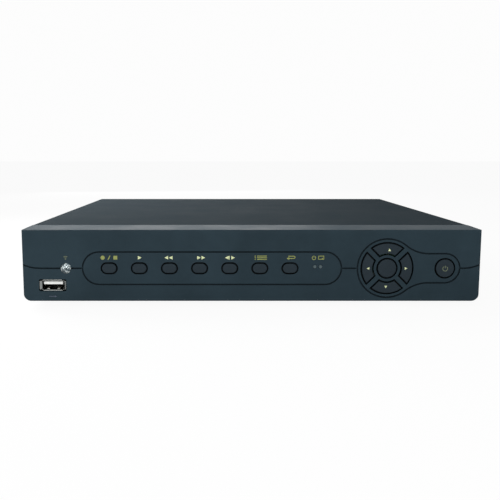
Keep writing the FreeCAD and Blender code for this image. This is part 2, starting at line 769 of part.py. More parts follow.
def boss_places():
    """The front board's screw places (x, z)."""
    high = TOP - BOSS_DROP
    upper = [(side * (SIDE - BOSS_SIDE_INSET), high) for side in (-1, 1)]
    return upper + [(FIRST_KEY + (gap - 0.5) * KEY_PITCH, BASE + BOSS_RISE) for gap in BOSS_KEY_GAPS]


def clip_places():
    """The middles of the bezel's rear clips along X."""
    return (-SIDE + CLIP_INSET, SIDE - CLIP_INSET)


def bezel_clip(x, sense):
    """One hooked tongue that holds the bezel to the tray; sense is 1 at the top and -1 below."""
    back = FRONT + BEZEL_DEPTH
    wall = TOP - BEZEL_WALL if sense > 0 else BASE + BEZEL_WALL
    inner = wall - sense * CLIP_THICKNESS
    hook = inner - sense * CLIP_HOOK
    tip = back + CLIP_REACH
    nose = CASE_FRONT + SHEET + SEAT
    corners = [
        (back - CLIP_ROOT, wall, 0),
        (tip, wall, 0),
        (tip, inner, 0),
        (nose, hook, 0),
        (nose, inner, 0),
        (back - CLIP_ROOT, inner, 0),
    ]
    return side_prism(corners, *around(x, CLIP_WIDTH))


def usb_hole(x, z, y_low, y_high):
    """The opening round a USB socket's flared mouth."""
    width = USB_WIDTH + 2 * USB_FLARE + 2 * JACK_GAP
    height = USB_HEIGHT + 2 * USB_FLARE_RISE + 2 * JACK_GAP
    return front_prism(rectangle(around(x, width), around(z, height), USB_HOLE_CORNER), y_low, y_high)


def front_bezel():
    """Moulded frame with its key holes, grooves, board bosses and rear clips."""
    shell = bezel_form(0, FRONT).cut(bezel_form(BEZEL_WALL, FRONT + BEZEL_WALL))
    bosses = [rod(x, z, BOSS_RADIUS, FRONT + BEZEL_WALL / 2, FRONT_BOARD) for x, z in boss_places()]
    clips = [bezel_clip(x, sense) for x in clip_places() for sense in (1, -1)]
    body = fuse([shell] + bosses + clips)
    through = (FRONT - PAST, FRONT + BEZEL_WALL + PAST)
    tools = [racket_groove(), capsule_groove()] + line_grooves() + key_holes(*through)
    tools += [rod(x, z, BOSS_BORE, FRONT + BEZEL_WALL, FRONT_BOARD + PAST) for x, z in boss_places()]
    tools.append(rod(LENS_X, LINE_HEIGHT, LENS_RADIUS + LENS_GAP, *through))
    tools += [rod(LAMP_X + offset, LAMP_Z, LAMP_RADIUS + LENS_GAP, *through) for offset in (0, LAMP_PITCH)]
    tools.append(usb_hole(FRONT_USB_X, FRONT_USB_Z, *through))
    for tool in tools:
        body = body.cut(tool)
    return body.removeSplitter()


def key(cap, flange, post_x, post_z):
    """A push key: cap, retaining flange and the square post that enters its switch."""
    post_end = FRONT_BOARD - SWITCH_DEPTH + POST_ENTRY
    post = box(around(post_x, POST), (FLANGE_BACK - FLANGE_THICKNESS / 2, post_end), around(post_z, POST))
    capped = chamfer_front(cap, FRONT - KEY_PROUD, KEY_CHAMFER)
    return fuse([capped, flange, post])


def function_key(x):
    """One of the seven oval keys."""
    cap = slot_prism(x, LINE_HEIGHT, KEY_WIDTH, KEY_HEIGHT, *CAP_SPAN)
    grow = 2 * (KEY_GAP + FLANGE_LIP)
    flange = box(around(x, KEY_WIDTH + grow), FLANGE_SPAN, around(LINE_HEIGHT, KEY_HEIGHT + grow))
    return key(cap, flange, x, LINE_HEIGHT)


def nav_post(name):
    """Where a direction key's post stands."""
    angle = math.radians(NAV_DIRECTIONS[name])
    radius = (NAV_OUTER + NAV_INNER) / 2
    return (NAV_X + radius * math.cos(angle), LINE_HEIGHT + radius * math.sin(angle))


def direction_key(name):
    """One quarter of the ring of direction keys."""
    cap = nav_sector(name, NAV_OUTER, NAV_INNER, NAV_RIB + 2 * NAV_GAP, *CAP_SPAN)
    reach = NAV_OUTER + NAV_GAP + FLANGE_LIP
    wall = BEZEL_WALL + FLANGE_WALL_GAP
    room = box(around(NAV_X, 3 * reach), FLANGE_SPAN, (BASE + wall, TOP - wall))
    flange = nav_sector(name, reach, NAV_INNER, NAV_RIB - 2 * SHEET_GAP, *FLANGE_SPAN).common(room)
    return key(cap, flange, *nav_post(name))


def round_key(x, radius, lip):
    """A round key."""
    cap = rod(x, LINE_HEIGHT, radius, *CAP_SPAN)
    flange = rod(x, LINE_HEIGHT, radius + lip, *FLANGE_SPAN)
    return key(cap, flange, x, LINE_HEIGHT)


def switch_places():
    """The centre (x, z) of every switch on the front board."""
    places = [(x, LINE_HEIGHT) for x in key_centres()]
    places += [nav_post(name) for name in NAV_DIRECTIONS]
    return places + [(NAV_X, LINE_HEIGHT), (POWER_X, LINE_HEIGHT)]


def tact_switches():
    """A square switch behind each key, open for the key's post."""
    face = FRONT_BOARD - SWITCH_DEPTH
    bore = POST + 2 * SEAT
    switches = []
    for x, z in switch_places():
        body = box(around(x, SWITCH_SIZE), (face, FRONT_BOARD), around(z, SWITCH_SIZE))
        hole = box(around(x, bore), (face, face + SWITCH_BORE_DEPTH), around(z, bore))
        switches.append(body.cut(hole))
    return switches


def front_board():
    """The printed board that carries switches, lamps, receiver and the front socket."""
    half = SIDE - FRONT_BOARD_INSET
    back = FRONT_BOARD + BOARD_THICKNESS
    plate = box((-half, half), (FRONT_BOARD, back), (BASE + FRONT_BOARD_FLOOR, TOP - FRONT_BOARD_DROP))
    hole = SCREW_RADIUS + SCREW_CLEARANCE
    return cut(plate, [rod(x, z, hole, FRONT_BOARD, back) for x, z in boss_places()])


def front_board_screws():
    """Self-tapping screws that hold the front board to the bezel's bosses."""
    back = FRONT_BOARD + BOARD_THICKNESS
    shank = BOSS_BORE - SEAT / 2
    profile = (
        (back - BOARD_SCREW_BITE, 0),
        (back - BOARD_SCREW_BITE, shank),
        (back, shank),
        (back, SCREW_HEAD_RADIUS),
        (back + SCREW_HEAD_HEIGHT, SCREW_HEAD_RADIUS),
        (back + SCREW_HEAD_HEIGHT, 0),
    )
    return [turned(profile, x, z) for x, z in boss_places()]


# ------------------------------------------------------------------ lens, receiver, lamps, USB sockets
def ir_lens():
    """Clear round window: a low dome in front and a collar behind the bezel's wall."""
    wall = FRONT + BEZEL_WALL
    points = (
        (FRONT - LENS_PROUD, 0),
        (FRONT - LENS_BEVEL_RISE, LENS_RADIUS - LENS_BEVEL),
        (FRONT, LENS_RADIUS),
        (wall + SEAT, LENS_RADIUS),
        (wall + SEAT, LENS_RADIUS + LENS_COLLAR),
        (wall + LENS_COLLAR, LENS_RADIUS + LENS_COLLAR),
        (wall + LENS_COLLAR, 0),
    )
    return turned(points, LENS_X, LINE_HEIGHT)


def ir_receiver():
    """Remote-control receiver on the board, its round nose just behind the lens."""
    nose_tip = FRONT + BEZEL_WALL + LENS_COLLAR + SHEET_GAP
    face = FRONT_BOARD - RECEIVER_DEPTH
    block = box(around(LENS_X, RECEIVER_WIDTH), (face, FRONT_BOARD), around(LINE_HEIGHT, RECEIVER_HEIGHT))
    nose = rod(LENS_X, LINE_HEIGHT, RECEIVER_NOSE, nose_tip, face + RECEIVER_DEPTH / 2)
    return fuse([block, nose])


def status_leds():
    """Two lamps with their light guides, one for power and one for the drive."""
    lamps = []
    for offset in (0, LAMP_PITCH):
        face = FRONT_BOARD - LAMP_CHIP_DEPTH
        guide = rod(LAMP_X + offset, LAMP_Z, LAMP_RADIUS, FRONT - LAMP_PROUD, face)
        chip = box(around(LAMP_X + offset, LAMP_CHIP), (face, FRONT_BOARD), around(LAMP_Z, LAMP_CHIP))
        lamps.append(fuse([guide, chip]))
    return lamps


def usb_shell(x, z, mouth, inward):
    """A pressed USB socket shell with four bent lips; inward is 1 if it runs to the rear, else -1."""
    neck = mouth + inward * USB_FLARE_DEPTH

    def section(width, height, level):
        return outline(rectangle(around(x, width), around(z, height)), lambda u, v: Vector(u, level, v))

    def hollow(trim, depth):
        width = USB_WIDTH - 2 * trim
        height = USB_HEIGHT - 2 * trim
        wide = section(width + 2 * USB_FLARE, height + 2 * USB_FLARE_RISE, mouth)
        flared = Part.makeLoft([wide, section(width, height, neck)], True, True)
        span = sorted((neck, mouth + inward * depth))
        return flared.fuse(box(around(x, width), span, around(z, height)))

    shell = hollow(0, USB_DEPTH).cut(hollow(USB_SHELL, USB_DEPTH - USB_BACK))
    x_ends = (USB_WIDTH / 2 - USB_LIP_GAP, USB_WIDTH / 2 + USB_FLARE + PAST)
    z_ends = (USB_HEIGHT / 2 - USB_SHELL, USB_HEIGHT / 2 + USB_FLARE_RISE + PAST)
    y_span = sorted((mouth - inward * PAST, neck))
    corners = []
    for side in (-1, 1):
        for sense in (-1, 1):
            x_span = sorted(x + side * end for end in x_ends)
            z_span = sorted(z + sense * end for end in z_ends)
            corners.append(box(x_span, y_span, z_span))
    return cut(shell.removeSplitter(), corners)


def usb_tongue(x, z, mouth, inward):
    """The contact tongue, fixed to the closed end of its shell."""
    start = mouth + inward * (USB_FLARE_DEPTH + USB_TONGUE_SETBACK)
    end = mouth + inward * (USB_DEPTH - USB_BACK)
    high = z + USB_HEIGHT / 2 - USB_SHELL - USB_TONGUE_DROP
    return box(around(x, USB_TONGUE_WIDTH), sorted((start, end)), (high - USB_TONGUE_HEIGHT, high))


# ------------------------------------------------------------------ case
def side_screw_places():
    """The cover's side screws along Y."""
    return (CASE_FRONT + SIDE_SCREW_INSET, BACK - SIDE_SCREW_INSET)


def rear_screw_places():
    """The cover's rear screws along X."""
    return (-SIDE + REAR_SCREW_INSET, 0, SIDE - REAR_SCREW_INSET)


def vent(y, side):
    """One slanted vent slot through a side of the cover."""
    low = BASE + VENT_RISE
    corners = [
        (y, low, 0),
        (y + VENT_WIDTH, low, 0),
        (y + VENT_WIDTH + VENT_SLANT, low + VENT_HEIGHT, 0),
        (y + VENT_SLANT, low + VENT_HEIGHT, 0),
    ]
    return side_prism(corners, *sorted((side * (SIDE + PAST), side * (SIDE - COVER_SHEET - PAST))))


def sunk_cone(y, side, grow):
    """The countersunk head's form in a side of the case."""
    face = side * SIDE
    direction = Vector(-side, 0, 0)
    wide = SCREW_HEAD_RADIUS + grow
    narrow = SCREW_RADIUS + grow
    return Part.makeCone(wide, narrow, SUNK_DEPTH, Vector(face, y, SIDE_SCREW_HEIGHT), direction)


def rear_screw_height():
    """The level of the cover's rear screws."""
    return TOP - REAR_SCREW_DROP


def top_cover():
    """Bent sheet over top and sides, with a lip down over the rear panel."""
    inner = SIDE - COVER_SHEET
    low = BASE + SHEET_GAP
    seen = [
        (-SIDE, low, 0),
        (-SIDE, TOP, COVER_BEND),
        (SIDE, TOP, COVER_BEND),
        (SIDE, low, 0),
        (inner, low, 0),
        (inner, CEILING, COVER_BEND - COVER_SHEET),
        (-inner, CEILING, COVER_BEND - COVER_SHEET),
        (-inner, low, 0),
    ]
    sheet = front_prism(seen, CASE_FRONT, BACK)
    lip_x = (-inner + COVER_LIP_INSET, inner - COVER_LIP_INSET)
    lip = box(lip_x, (BACK - COVER_SHEET, BACK), (TOP - COVER_LIP, TOP - COVER_BEND / 2))
    cover = fuse([sheet, lip])
    vents = [
        vent(CASE_FRONT + VENT_START + index * VENT_PITCH, side)
        for side in (-1, 1)
        for index in range(VENT_COUNT)
    ]
    holes = [sunk_cone(y, side, SCREW_CLEARANCE) for y in side_screw_places() for side in (-1, 1)]
    hole = SCREW_RADIUS + SCREW_CLEARANCE
    holes += [rod(x, rear_screw_height(), hole, BACK - COVER_SHEET, BACK) for x in rear_screw_places()]
    notch = BNC_NECK_RADIUS + 2 * JACK_GAP
    notches = [rod(x, z, notch, BACK - COVER_SHEET, BACK) for x, z in BNC_PLACES if z == HIGH_ROW]
    return cut(cover, vents + holes + notches)


def tray_window(x_span):
    """A cable window in the tray's front wall."""
    corners = rectangle(x_span, (FLOOR + WINDOW_RISE, CEILING - WINDOW_DROP), WINDOW_RADIUS)
    return front_prism(corners, CASE_FRONT, CASE_FRONT + SHEET)


def drive_screw_places():
    """The drive's screws (x, y)."""
    rows = (DRIVE_FRONT + DRIVE_SCREW_EDGE, DRIVE_BACK - DRIVE_SCREW_EDGE)
    return [(DRIVE_LEFT + end, y) for end in DRIVE_SCREW_ENDS for y in rows]


def standoff_places():
    """The main board's screw places (x, y)."""
    columns = (BOARD_LEFT + BOARD_HOLE_INSET, (BOARD_LEFT + BOARD_RIGHT) / 2, BOARD_RIGHT - BOARD_HOLE_INSET)
    rows = (BOARD_FRONT + BOARD_HOLE_INSET, BOARD_BACK - BOARD_REAR_HOLE)
    return [(x, y) for x in columns for y in rows]


def chassis_tray():
    """Floor sheet with side walls, drive pads and a front wall that the bezel clips to."""
    back = PANEL_FRONT - SEAT
    front = CASE_FRONT
    lip_top = CEILING - SEAT
    inner = TRAY_SIDE - SHEET
    floor = box((-TRAY_SIDE, TRAY_SIDE), (front, back), (BASE, FLOOR))
    sides = [
        box(sorted((side * TRAY_SIDE, side * inner)), (front, back), (BASE, BASE + TRAY_SIDE_HEIGHT))
        for side in (-1, 1)
    ]
    wall = box((-TRAY_SIDE, TRAY_SIDE), (front, front + SHEET), (BASE, lip_top))
    lip = box((-TRAY_SIDE, TRAY_SIDE), (front, front + TRAY_LIP), (lip_top - SHEET, lip_top))
    pads = [pillar(x, y, DRIVE_PAD_RADIUS, BASE, DRIVE_UNDER) for x, y in drive_screw_places()]
    tray = fuse([floor, wall, lip] + sides + pads)
    hole = SCREW_RADIUS + SCREW_CLEARANCE
    tools = [pillar(x, y, hole, BASE, DRIVE_UNDER) for x, y in drive_screw_places()]
    for side in (-1, 1):
        for y in side_screw_places():
            start = Vector(side * (TRAY_SIDE + PAST), y, SIDE_SCREW_HEIGHT)
            tools.append(Part.makeCylinder(hole, SHEET + 2 * PAST, start, Vector(-side, 0, 0)))
    start = RIBBON_X - RIBBON_WIDTH / 2 - WINDOW_MARGIN
    tools.append(tray_window((start, start + WINDOW_LENGTH)))
    tools.append(tray_window((start - WINDOW_BAR - WINDOW_LENGTH, start - WINDOW_BAR)))
    for x in clip_places():
        span = around(x, CLIP_WIDTH + 2 * SHEET_GAP)
        slots = (
            (TOP - BEZEL_WALL - CLIP_THICKNESS - CLIP_HOOK - SHEET_GAP, lip_top + PAST),
            (BASE - PAST, BASE + BEZEL_WALL + CLIP_THICKNESS + CLIP_HOOK + SHEET_GAP),
        )
        reach = FRONT + BEZEL_DEPTH + CLIP_REACH + SHEET_GAP
        tools += [box(span, (front - PAST, reach), slot) for slot in slots]
    return cut(tray, tools)


def fan_grille():
    """Level slots over the fan, as long as its round duct is wide at their height, cut by a middle bar."""
    slots = []
    count = GRILLE_SLOTS // 2
    for index in range(-count, count + 1):
        rise = index * GRILLE_PITCH
        reach = math.sqrt(FAN_DUCT**2 - (abs(rise) + GRILLE_SLOT / 2) ** 2) - GRILLE_MARGIN
        for side in (-1, 1):
            x_span = sorted((FAN_X + side * GRILLE_BAR / 2, FAN_X + side * reach))
            slots.append(box(x_span, (PANEL_FRONT, PANEL_BACK), around(FAN_Z + rise, GRILLE_SLOT)))
    return slots


def fan_hole_places(count_all):
    """The fan's screw places (x, z): all four in the frame, or the two on one diagonal that hold it."""
    half = FAN_HOLE_PITCH / 2
    places = [(FAN_X + a * half, FAN_Z + b * half) for a in (-1, 1) for b in (-1, 1)]
    return places if count_all else [places[0], places[3]]


def d_shape(grow):
    """The corners of the video monitor socket's mouth, grown by grow."""
    high = VGA_HEIGHT / 2 + grow
    wide = VGA_WIDTH / 2 + grow
    narrow = wide - VGA_SKEW
    corners = ((-wide, high), (-narrow, -high), (narrow, -high), (wide, high))
    return [(VGA_X + u, VGA_Z + v, VGA_CORNER + grow) for u, v in corners]


def rear_panel():
    """Connector panel with a foot that is bent in over the tray's floor."""
    half = TRAY_SIDE - SHEET - SHEET_GAP
    span = (PANEL_FRONT, PANEL_BACK)
    plate = box((-half, half), span, (FLOOR + SEAT, CEILING - SEAT))
    foot_top = FLOOR + SEAT + SHEET
    foot = box((-half, half), (PANEL_BACK - PANEL_FLANGE, PANEL_BACK), (FLOOR + SEAT, foot_top))
    fan_x = around(FAN_X, FAN_SIZE + 2 * FAN_CLEAR)
    clear_fan = box(fan_x, (FAN_FRONT - PAST, PANEL_FRONT), (FLOOR, foot_top + PAST))
    panel = cut(fuse([plate, foot]), [clear_fan])
    tools = [rod(x, z, BNC_NECK_RADIUS + JACK_GAP, *span) for x, z in BNC_PLACES]
    tools += [rod(x, z, PHONO_RADIUS + PHONO_GAP, *span) for x, z in PHONO_PLACES]
    tools.append(front_prism(d_shape(VGA_SHELL + JACK_GAP), *span))
    tools += [rod(x, VGA_Z, VGA_POST_HOLE, *span) for x in around(VGA_X, VGA_POST_SPACING)]
    lan_z = (BOARD_TOP - JACK_GAP, BOARD_TOP + LAN_HEIGHT + JACK_GAP)
    tools.append(box(around(LAN_X, LAN_WIDTH + 2 * JACK_GAP), span, lan_z))
    tools.append(usb_hole(REAR_USB_X, REAR_USB_Z, *span))
    block_z = (BOARD_TOP - JACK_GAP, BOARD_TOP + TERMINAL_HEIGHT + JACK_GAP)
    tools.append(box(around(TERMINAL_X, TERMINAL_WIDTH + 2 * JACK_GAP), span, block_z))
    jack_z = (BOARD_TOP - JACK_GAP, BOARD_TOP + POWER_JACK_HEIGHT + JACK_GAP)
    tools.append(box(around(POWER_JACK_X, POWER_JACK_WIDTH + 2 * JACK_GAP), span, jack_z))
    hole = SCREW_RADIUS + SCREW_CLEARANCE
    tools += [rod(x, rear_screw_height(), hole, *span) for x in rear_screw_places()]
    tools += [rod(x, z, hole, *span) for x, z in fan_hole_places(False)]
    tools += fan_grille()
    for tool in tools:
        panel = panel.cut(tool)
    return panel.removeSplitter()


def side_screws():
    """Countersunk screws, flush with the cover's sides."""
    screws = []
    for side in (-1, 1):
        for y in side_screw_places():
            start = Vector(side * (SIDE - SUNK_DEPTH + SEAT), y, SIDE_SCREW_HEIGHT)
            shank = Part.makeCylinder(SCREW_RADIUS, SIDE_SCREW_LENGTH, start, Vector(-side, 0, 0))
            screws.append(fuse([sunk_cone(y, side, 0), shank]))
    return screws


def pan_screw(x, z, face, length):
    """A pan-head screw driven forwards, its head on a face that looks to the rear."""
    profile = (
        (face - length, 0),
        (face - length, SCREW_RADIUS),
        (face, SCREW_RADIUS),
        (face, SCREW_HEAD_RADIUS),
        (face + SCREW_HEAD_HEIGHT, SCREW_HEAD_RADIUS - PAN_TAPER),
        (face + SCREW_HEAD_HEIGHT, 0),
    )
    return turned(profile, x, z)


def rear_screws():
    """The screws in the cover's lip and the two that hold the fan."""
    lip = [pan_screw(x, rear_screw_height(), BACK, REAR_SCREW_LENGTH) for x in rear_screw_places()]
    return lip + [pan_screw(x, z, PANEL_BACK, FAN_SCREW_LENGTH) for x, z in fan_hole_places(False)]


def rubber_feet():
    """Four stick-on feet, slightly tapered."""
    rows = (FRONT + FOOT_FRONT_INSET, BACK - FOOT_BACK_INSET)
    profile = (
        (0, 0),
        (0, FOOT_RADIUS - FOOT_TAPER),
        (FOOT_HEIGHT, FOOT_RADIUS),
        (FOOT_HEIGHT, 0),
    )
    return [turned_up(profile, side * (SIDE - FOOT_SIDE_INSET), y) for side in (-1, 1) for y in rows]


# ------------------------------------------------------------------ hard drive
def drive_case():
    """Cast drive body with a board recess below, a lid seat above and its socket at the right end."""
    high = DRIVE_UNDER + DRIVE_HEIGHT - DRIVE_LID
    corners = rectangle((DRIVE_LEFT, DRIVE_RIGHT), (DRIVE_FRONT, DRIVE_BACK), DRIVE_RADIUS)
    body = plan_prism(corners, DRIVE_UNDER, high)
    recess_x = (DRIVE_LEFT + DRIVE_BOARD_START, DRIVE_RIGHT)
    recess_y = (DRIVE_FRONT + DRIVE_BOARD_EDGE, DRIVE_BACK - DRIVE_BOARD_EDGE)
    tools = [box(recess_x, recess_y, (DRIVE_UNDER, DRIVE_UNDER + DRIVE_BOARD_RECESS))]
    inset, depth, height = DRIVE_SCALLOP
    scallop_x = (DRIVE_LEFT + inset, DRIVE_RIGHT - inset)
    for y in (DRIVE_FRONT, DRIVE_BACK):
        tools.append(box(scallop_x, around(y, 2 * depth), (DRIVE_UNDER, DRIVE_UNDER + height)))
    hole = SCREW_RADIUS + SCREW_CLEARANCE / 2
    bore = (DRIVE_UNDER, DRIVE_UNDER + DRIVE_BORE_DEPTH)
    tools += [pillar(x, y, hole, *bore) for x, y in drive_screw_places()]
    return cut(body, tools)


def drive_lid():
    """Pressed lid with a raised round field over the platters."""
    low = DRIVE_UNDER + DRIVE_HEIGHT - DRIVE_LID
    high = low + DRIVE_LID
    plate_x = (DRIVE_LEFT + DRIVE_LID_INSET, DRIVE_RIGHT - DRIVE_LID_INSET)
    plate_y = (DRIVE_FRONT + DRIVE_LID_INSET, DRIVE_BACK - DRIVE_LID_INSET)
    plate = plan_prism(rectangle(plate_x, plate_y, DRIVE_LID_RADIUS), low, high - DRIVE_LID_RAISE)
    middle = (DRIVE_FRONT + DRIVE_BACK) / 2
    dome = pillar(DRIVE_LEFT + DRIVE_WIDTH / 2, middle, DRIVE_WIDTH / 2 - DRIVE_LID_MARGIN, low, high)
    return fuse([plate, dome])


def drive_board():
    """Controller board in the drive's recess, with the data and supply socket at its right edge."""
    low = DRIVE_UNDER + DRIVE_BOARD_RECESS - BOARD_THICKNESS - SEAT
    edge = DRIVE_BOARD_EDGE + DRIVE_BOARD_GAP
    right = DRIVE_RIGHT - DRIVE_BOARD_GAP
    plate_x = (DRIVE_LEFT + DRIVE_BOARD_START + DRIVE_BOARD_GAP, right)
    plate = box(plate_x, (DRIVE_FRONT + edge, DRIVE_BACK - edge), (low, low + BOARD_THICKNESS))
    socket_x = (right - DRIVE_SOCKET_DEPTH, right)
    near = SUPPLY_Y - SUPPLY_PLUG / 2 - DRIVE_SOCKET_MARGIN
    far = SATA_Y + SATA_PLUG / 2 + DRIVE_SOCKET_MARGIN
    socket = box(socket_x, (near, far), (DRIVE_UNDER, low))
    return fuse([plate, socket])


def drive_screws():
    """Screws driven up through the tray's pads into the drive."""
    profile = (
        (BASE - SCREW_HEAD_HEIGHT, 0),
        (BASE - SCREW_HEAD_HEIGHT, SCREW_HEAD_RADIUS),
        (BASE, SCREW_HEAD_RADIUS),
        (BASE, SCREW_RADIUS),
        (DRIVE_UNDER + DRIVE_SCREW_BITE, SCREW_RADIUS),
        (DRIVE_UNDER + DRIVE_SCREW_BITE, 0),
    )
    return [turned_up(profile, x, y) for x, y in drive_screw_places()]


# ------------------------------------------------------------------ main board
def main_board():
    """The printed board that carries every rear connector."""
    corners = rectangle((BOARD_LEFT, BOARD_RIGHT), (BOARD_FRONT, BOARD_BACK), BOARD_RADIUS)
    plate = plan_prism(corners, BOARD_UNDER, BOARD_TOP)
    hole = SCREW_RADIUS + SCREW_CLEARANCE
    return cut(plate, [pillar(x, y, hole, BOARD_UNDER, BOARD_TOP) for x, y in standoff_places()])


def board_standoffs():
    """Tapped hexagonal spacers between the tray and the main board."""
    bore = SCREW_RADIUS + SCREW_CLEARANCE
    spacers = []
    for x, y in standoff_places():
        spacer = plan_prism(hexagon(x, y, STANDOFF_FLATS), FLOOR, BOARD_UNDER)
        spacers.append(spacer.cut(pillar(x, y, bore, FLOOR + STANDOFF_FLOOR, BOARD_UNDER)))
    return spacers


def board_screws():
    """Pan-head screws through the main board into its standoffs."""
    tip = FLOOR + STANDOFF_FLOOR + BOARD_SCREW_SETBACK
    profile = (
        (tip, 0),
        (tip, SCREW_RADIUS),
        (BOARD_TOP, SCREW_RADIUS),
        (BOARD_TOP, SCREW_HEAD_RADIUS),
        (BOARD_TOP + SCREW_HEAD_HEIGHT, SCREW_HEAD_RADIUS - PAN_TAPER),
        (BOARD_TOP + SCREW_HEAD_HEIGHT, 0),
    )
    return [turned_up(profile, x, y) for x, y in standoff_places()]


def processor():
    """The main chip, under the heat sink."""
    top = BOARD_TOP + PROCESSOR_HEIGHT
    return box(around(SINK_X, PROCESSOR_SIZE), around(SINK_Y, PROCESSOR_SIZE), (BOARD_TOP, top))


def heatsink():
    """Extruded heat sink: a base with a row of upright fins."""
    low = BOARD_TOP + PROCESSOR_HEIGHT
    pitch = (SINK_SIZE - SINK_FIN) / (SINK_FINS - 1)
    corners = [(SINK_X - SINK_SIZE / 2, low, 0), (SINK_X + SINK_SIZE / 2, low, 0)]
    for index in reversed(range(SINK_FINS)):
        left = SINK_X - SINK_SIZE / 2 + index * pitch
        corners.append((left + SINK_FIN, low + SINK_HEIGHT, 0))
        corners.append((left, low + SINK_HEIGHT, 0))
        if index:
            corners.append((left, low + SINK_BASE, 0))
            corners.append((left - pitch + SINK_FIN, low + SINK_BASE, 0))
    return front_prism(corners, *around(SINK_Y, SINK_SIZE))


def board_chips():
    """Memory chips beside the processor and the video decoders behind the connectors."""
    level = (BOARD_TOP, BOARD_TOP + CHIP_HEIGHT)
    chips = []
    for column in range(CHIP_ROWS):
        for row in range(CHIP_ROWS):
            x = SINK_X - SINK_SIZE / 2 - CHIP_OFFSET - column * CHIP_PITCH
            y = SINK_Y + (row - (CHIP_ROWS - 1) / 2) * CHIP_PITCH
            chips.append(box(around(x, CHIP_SIZE[0]), around(y, CHIP_SIZE[1]), level))
    for index in range(DECODERS):
        x = BNC_FIRST_X - index * DECODER_PITCH
        y = BOARD_BACK - DECODER_SETBACK
        chips.append(box(around(x, DECODER_SIZE), around(y, DECODER_SIZE), level))
    return chips


def capacitors():
    """Upright electrolytic capacitors beside the power inlet."""
    places = [BOARD_LEFT + CAPACITOR_INSET + index * CAPACITOR_PITCH for index in range(CAPACITORS)]
    top = BOARD_TOP + CAPACITOR_HEIGHT
    return [pillar(x, BOARD_BACK - CAPACITOR_SETBACK, CAPACITOR_RADIUS, BOARD_TOP, top) for x in places]


def coin_cell():
    """Clock battery, lying in its holder."""
    low = BOARD_TOP + COIN_WALL
    return pillar(COIN_X, COIN_Y, COIN_RADIUS, low, low + COIN_THICKNESS)


def coin_cell_holder():
    """Round cup open at the top, with a finger notch in front."""
    high = BOARD_TOP + COIN_WALL + COIN_RIM
    cup = pillar(COIN_X, COIN_Y, COIN_RADIUS + SEAT + COIN_WALL, BOARD_TOP, high)
    hollow = pillar(COIN_X, COIN_Y, COIN_RADIUS + SEAT, BOARD_TOP + COIN_WALL, high)
    notch = box(around(COIN_X, COIN_NOTCH), (COIN_Y - 2 * COIN_RADIUS, COIN_Y), (BOARD_TOP + COIN_WALL, high))
    return cut(cup, [hollow, notch])


# ------------------------------------------------------------------ rear connectors
def bnc_bodies():
    """Insulating blocks of the video connectors, stacked where two lie over each other."""
    back = PANEL_FRONT - SEAT
    bodies = []
    for x, z in BNC_PLACES:
        low = BOARD_TOP if z == LOW_ROW else z - BNC_PITCH_Z / 2 + SEAT / 2
        high = z + BNC_BODY / 2
        bodies.append(box(around(x, BNC_BODY), (back - BNC_BODY_DEPTH, back), (low, high)))
    return bodies


def bnc_shells():
    """Bayonet barrels with two lugs each."""
    tip = BACK + CONNECTOR_REACH
    root = PANEL_FRONT - SEAT
    neck = PANEL_BACK + BNC_NECK_REACH
    shells = []
    for x, z in BNC_PLACES:
        profile = (
            (root, 0),
            (root, BNC_NECK_RADIUS),
            (neck, BNC_NECK_RADIUS),
            (neck, BNC_RADIUS),
            (tip, BNC_RADIUS),
            (tip, BNC_BORE),
            (tip - BNC_BORE_DEPTH, BNC_BORE),
            (tip - BNC_BORE_DEPTH, 0),
        )
        barrel = turned(profile, x, z)
        seat = (BNC_RADIUS + BNC_BORE) / 2
        lug = hexagon(x, tip - BNC_LUG_SETBACK, BNC_LUG_FLATS)
        reach = BNC_RADIUS + BNC_LUG_REACH
        lugs = [plan_prism(lug, z + low, z + high) for low, high in ((-reach, -seat), (seat, reach))]
        shells.append(fuse([barrel] + lugs))
    return shells


def bnc_inserts():
    """White dielectric cores round the centre contacts."""
    tip = BACK + CONNECTOR_REACH
    return [rod(x, z, BNC_CORE_RADIUS, tip - BNC_BORE_DEPTH, tip - BNC_CORE_SETBACK) for x, z in BNC_PLACES]


def audio_bodies():
    """Insulating blocks of the phono sockets."""
    back = PANEL_FRONT - SEAT
    bodies = []
    for x, z in PHONO_PLACES:
        low = BOARD_TOP if z == PHONO_LOW else z - PHONO_PITCH_Z + PHONO_BODY / 2 + SEAT
        high = z + PHONO_BODY / 2
        bodies.append(box(around(x, PHONO_BODY), (back - PHONO_BODY_DEPTH, back), (low, high)))
    return bodies


def audio_shells():
    """Outer contact sleeves of the phono sockets."""
    root = PANEL_FRONT - SEAT
    tip = PANEL_BACK + PHONO_REACH
    return [
        rod(x, z, PHONO_RADIUS, root, tip).cut(rod(x, z, PHONO_RADIUS - PHONO_WALL, root + PHONO_FLOOR, tip))
        for x, z in PHONO_PLACES
    ]


def audio_inserts():
    """Coloured insulating rings in the phono sockets."""
    root = PANEL_FRONT - SEAT + PHONO_FLOOR
    tip = PANEL_BACK + PHONO_REACH - PHONO_RECESS
    radius = PHONO_RADIUS - PHONO_WALL
    return [
        rod(x, z, radius - SEAT / 2, root, tip).cut(rod(x, z, PHONO_HOLE, root + PHONO_FLOOR, tip))
        for x, z in PHONO_PLACES
    ]


def vga_shell():
    """Pressed shell of the monitor socket: flange behind the panel and a D-shaped mouth."""
    back = PANEL_FRONT - SEAT
    front = back - VGA_FLANGE
    tip = PANEL_BACK + VGA_REACH
    flange = box(around(VGA_X, VGA_FLANGE_WIDTH), (front, back), around(VGA_Z, VGA_FLANGE_HEIGHT))
    mouth = front_prism(d_shape(VGA_SHELL), front, tip)
    hollow = front_prism(d_shape(0), front, tip)
    holes = [rod(x, VGA_Z, VGA_POST_HOLE, front, back) for x in around(VGA_X, VGA_POST_SPACING)]
    return cut(fuse([flange, mouth]), [hollow] + holes)


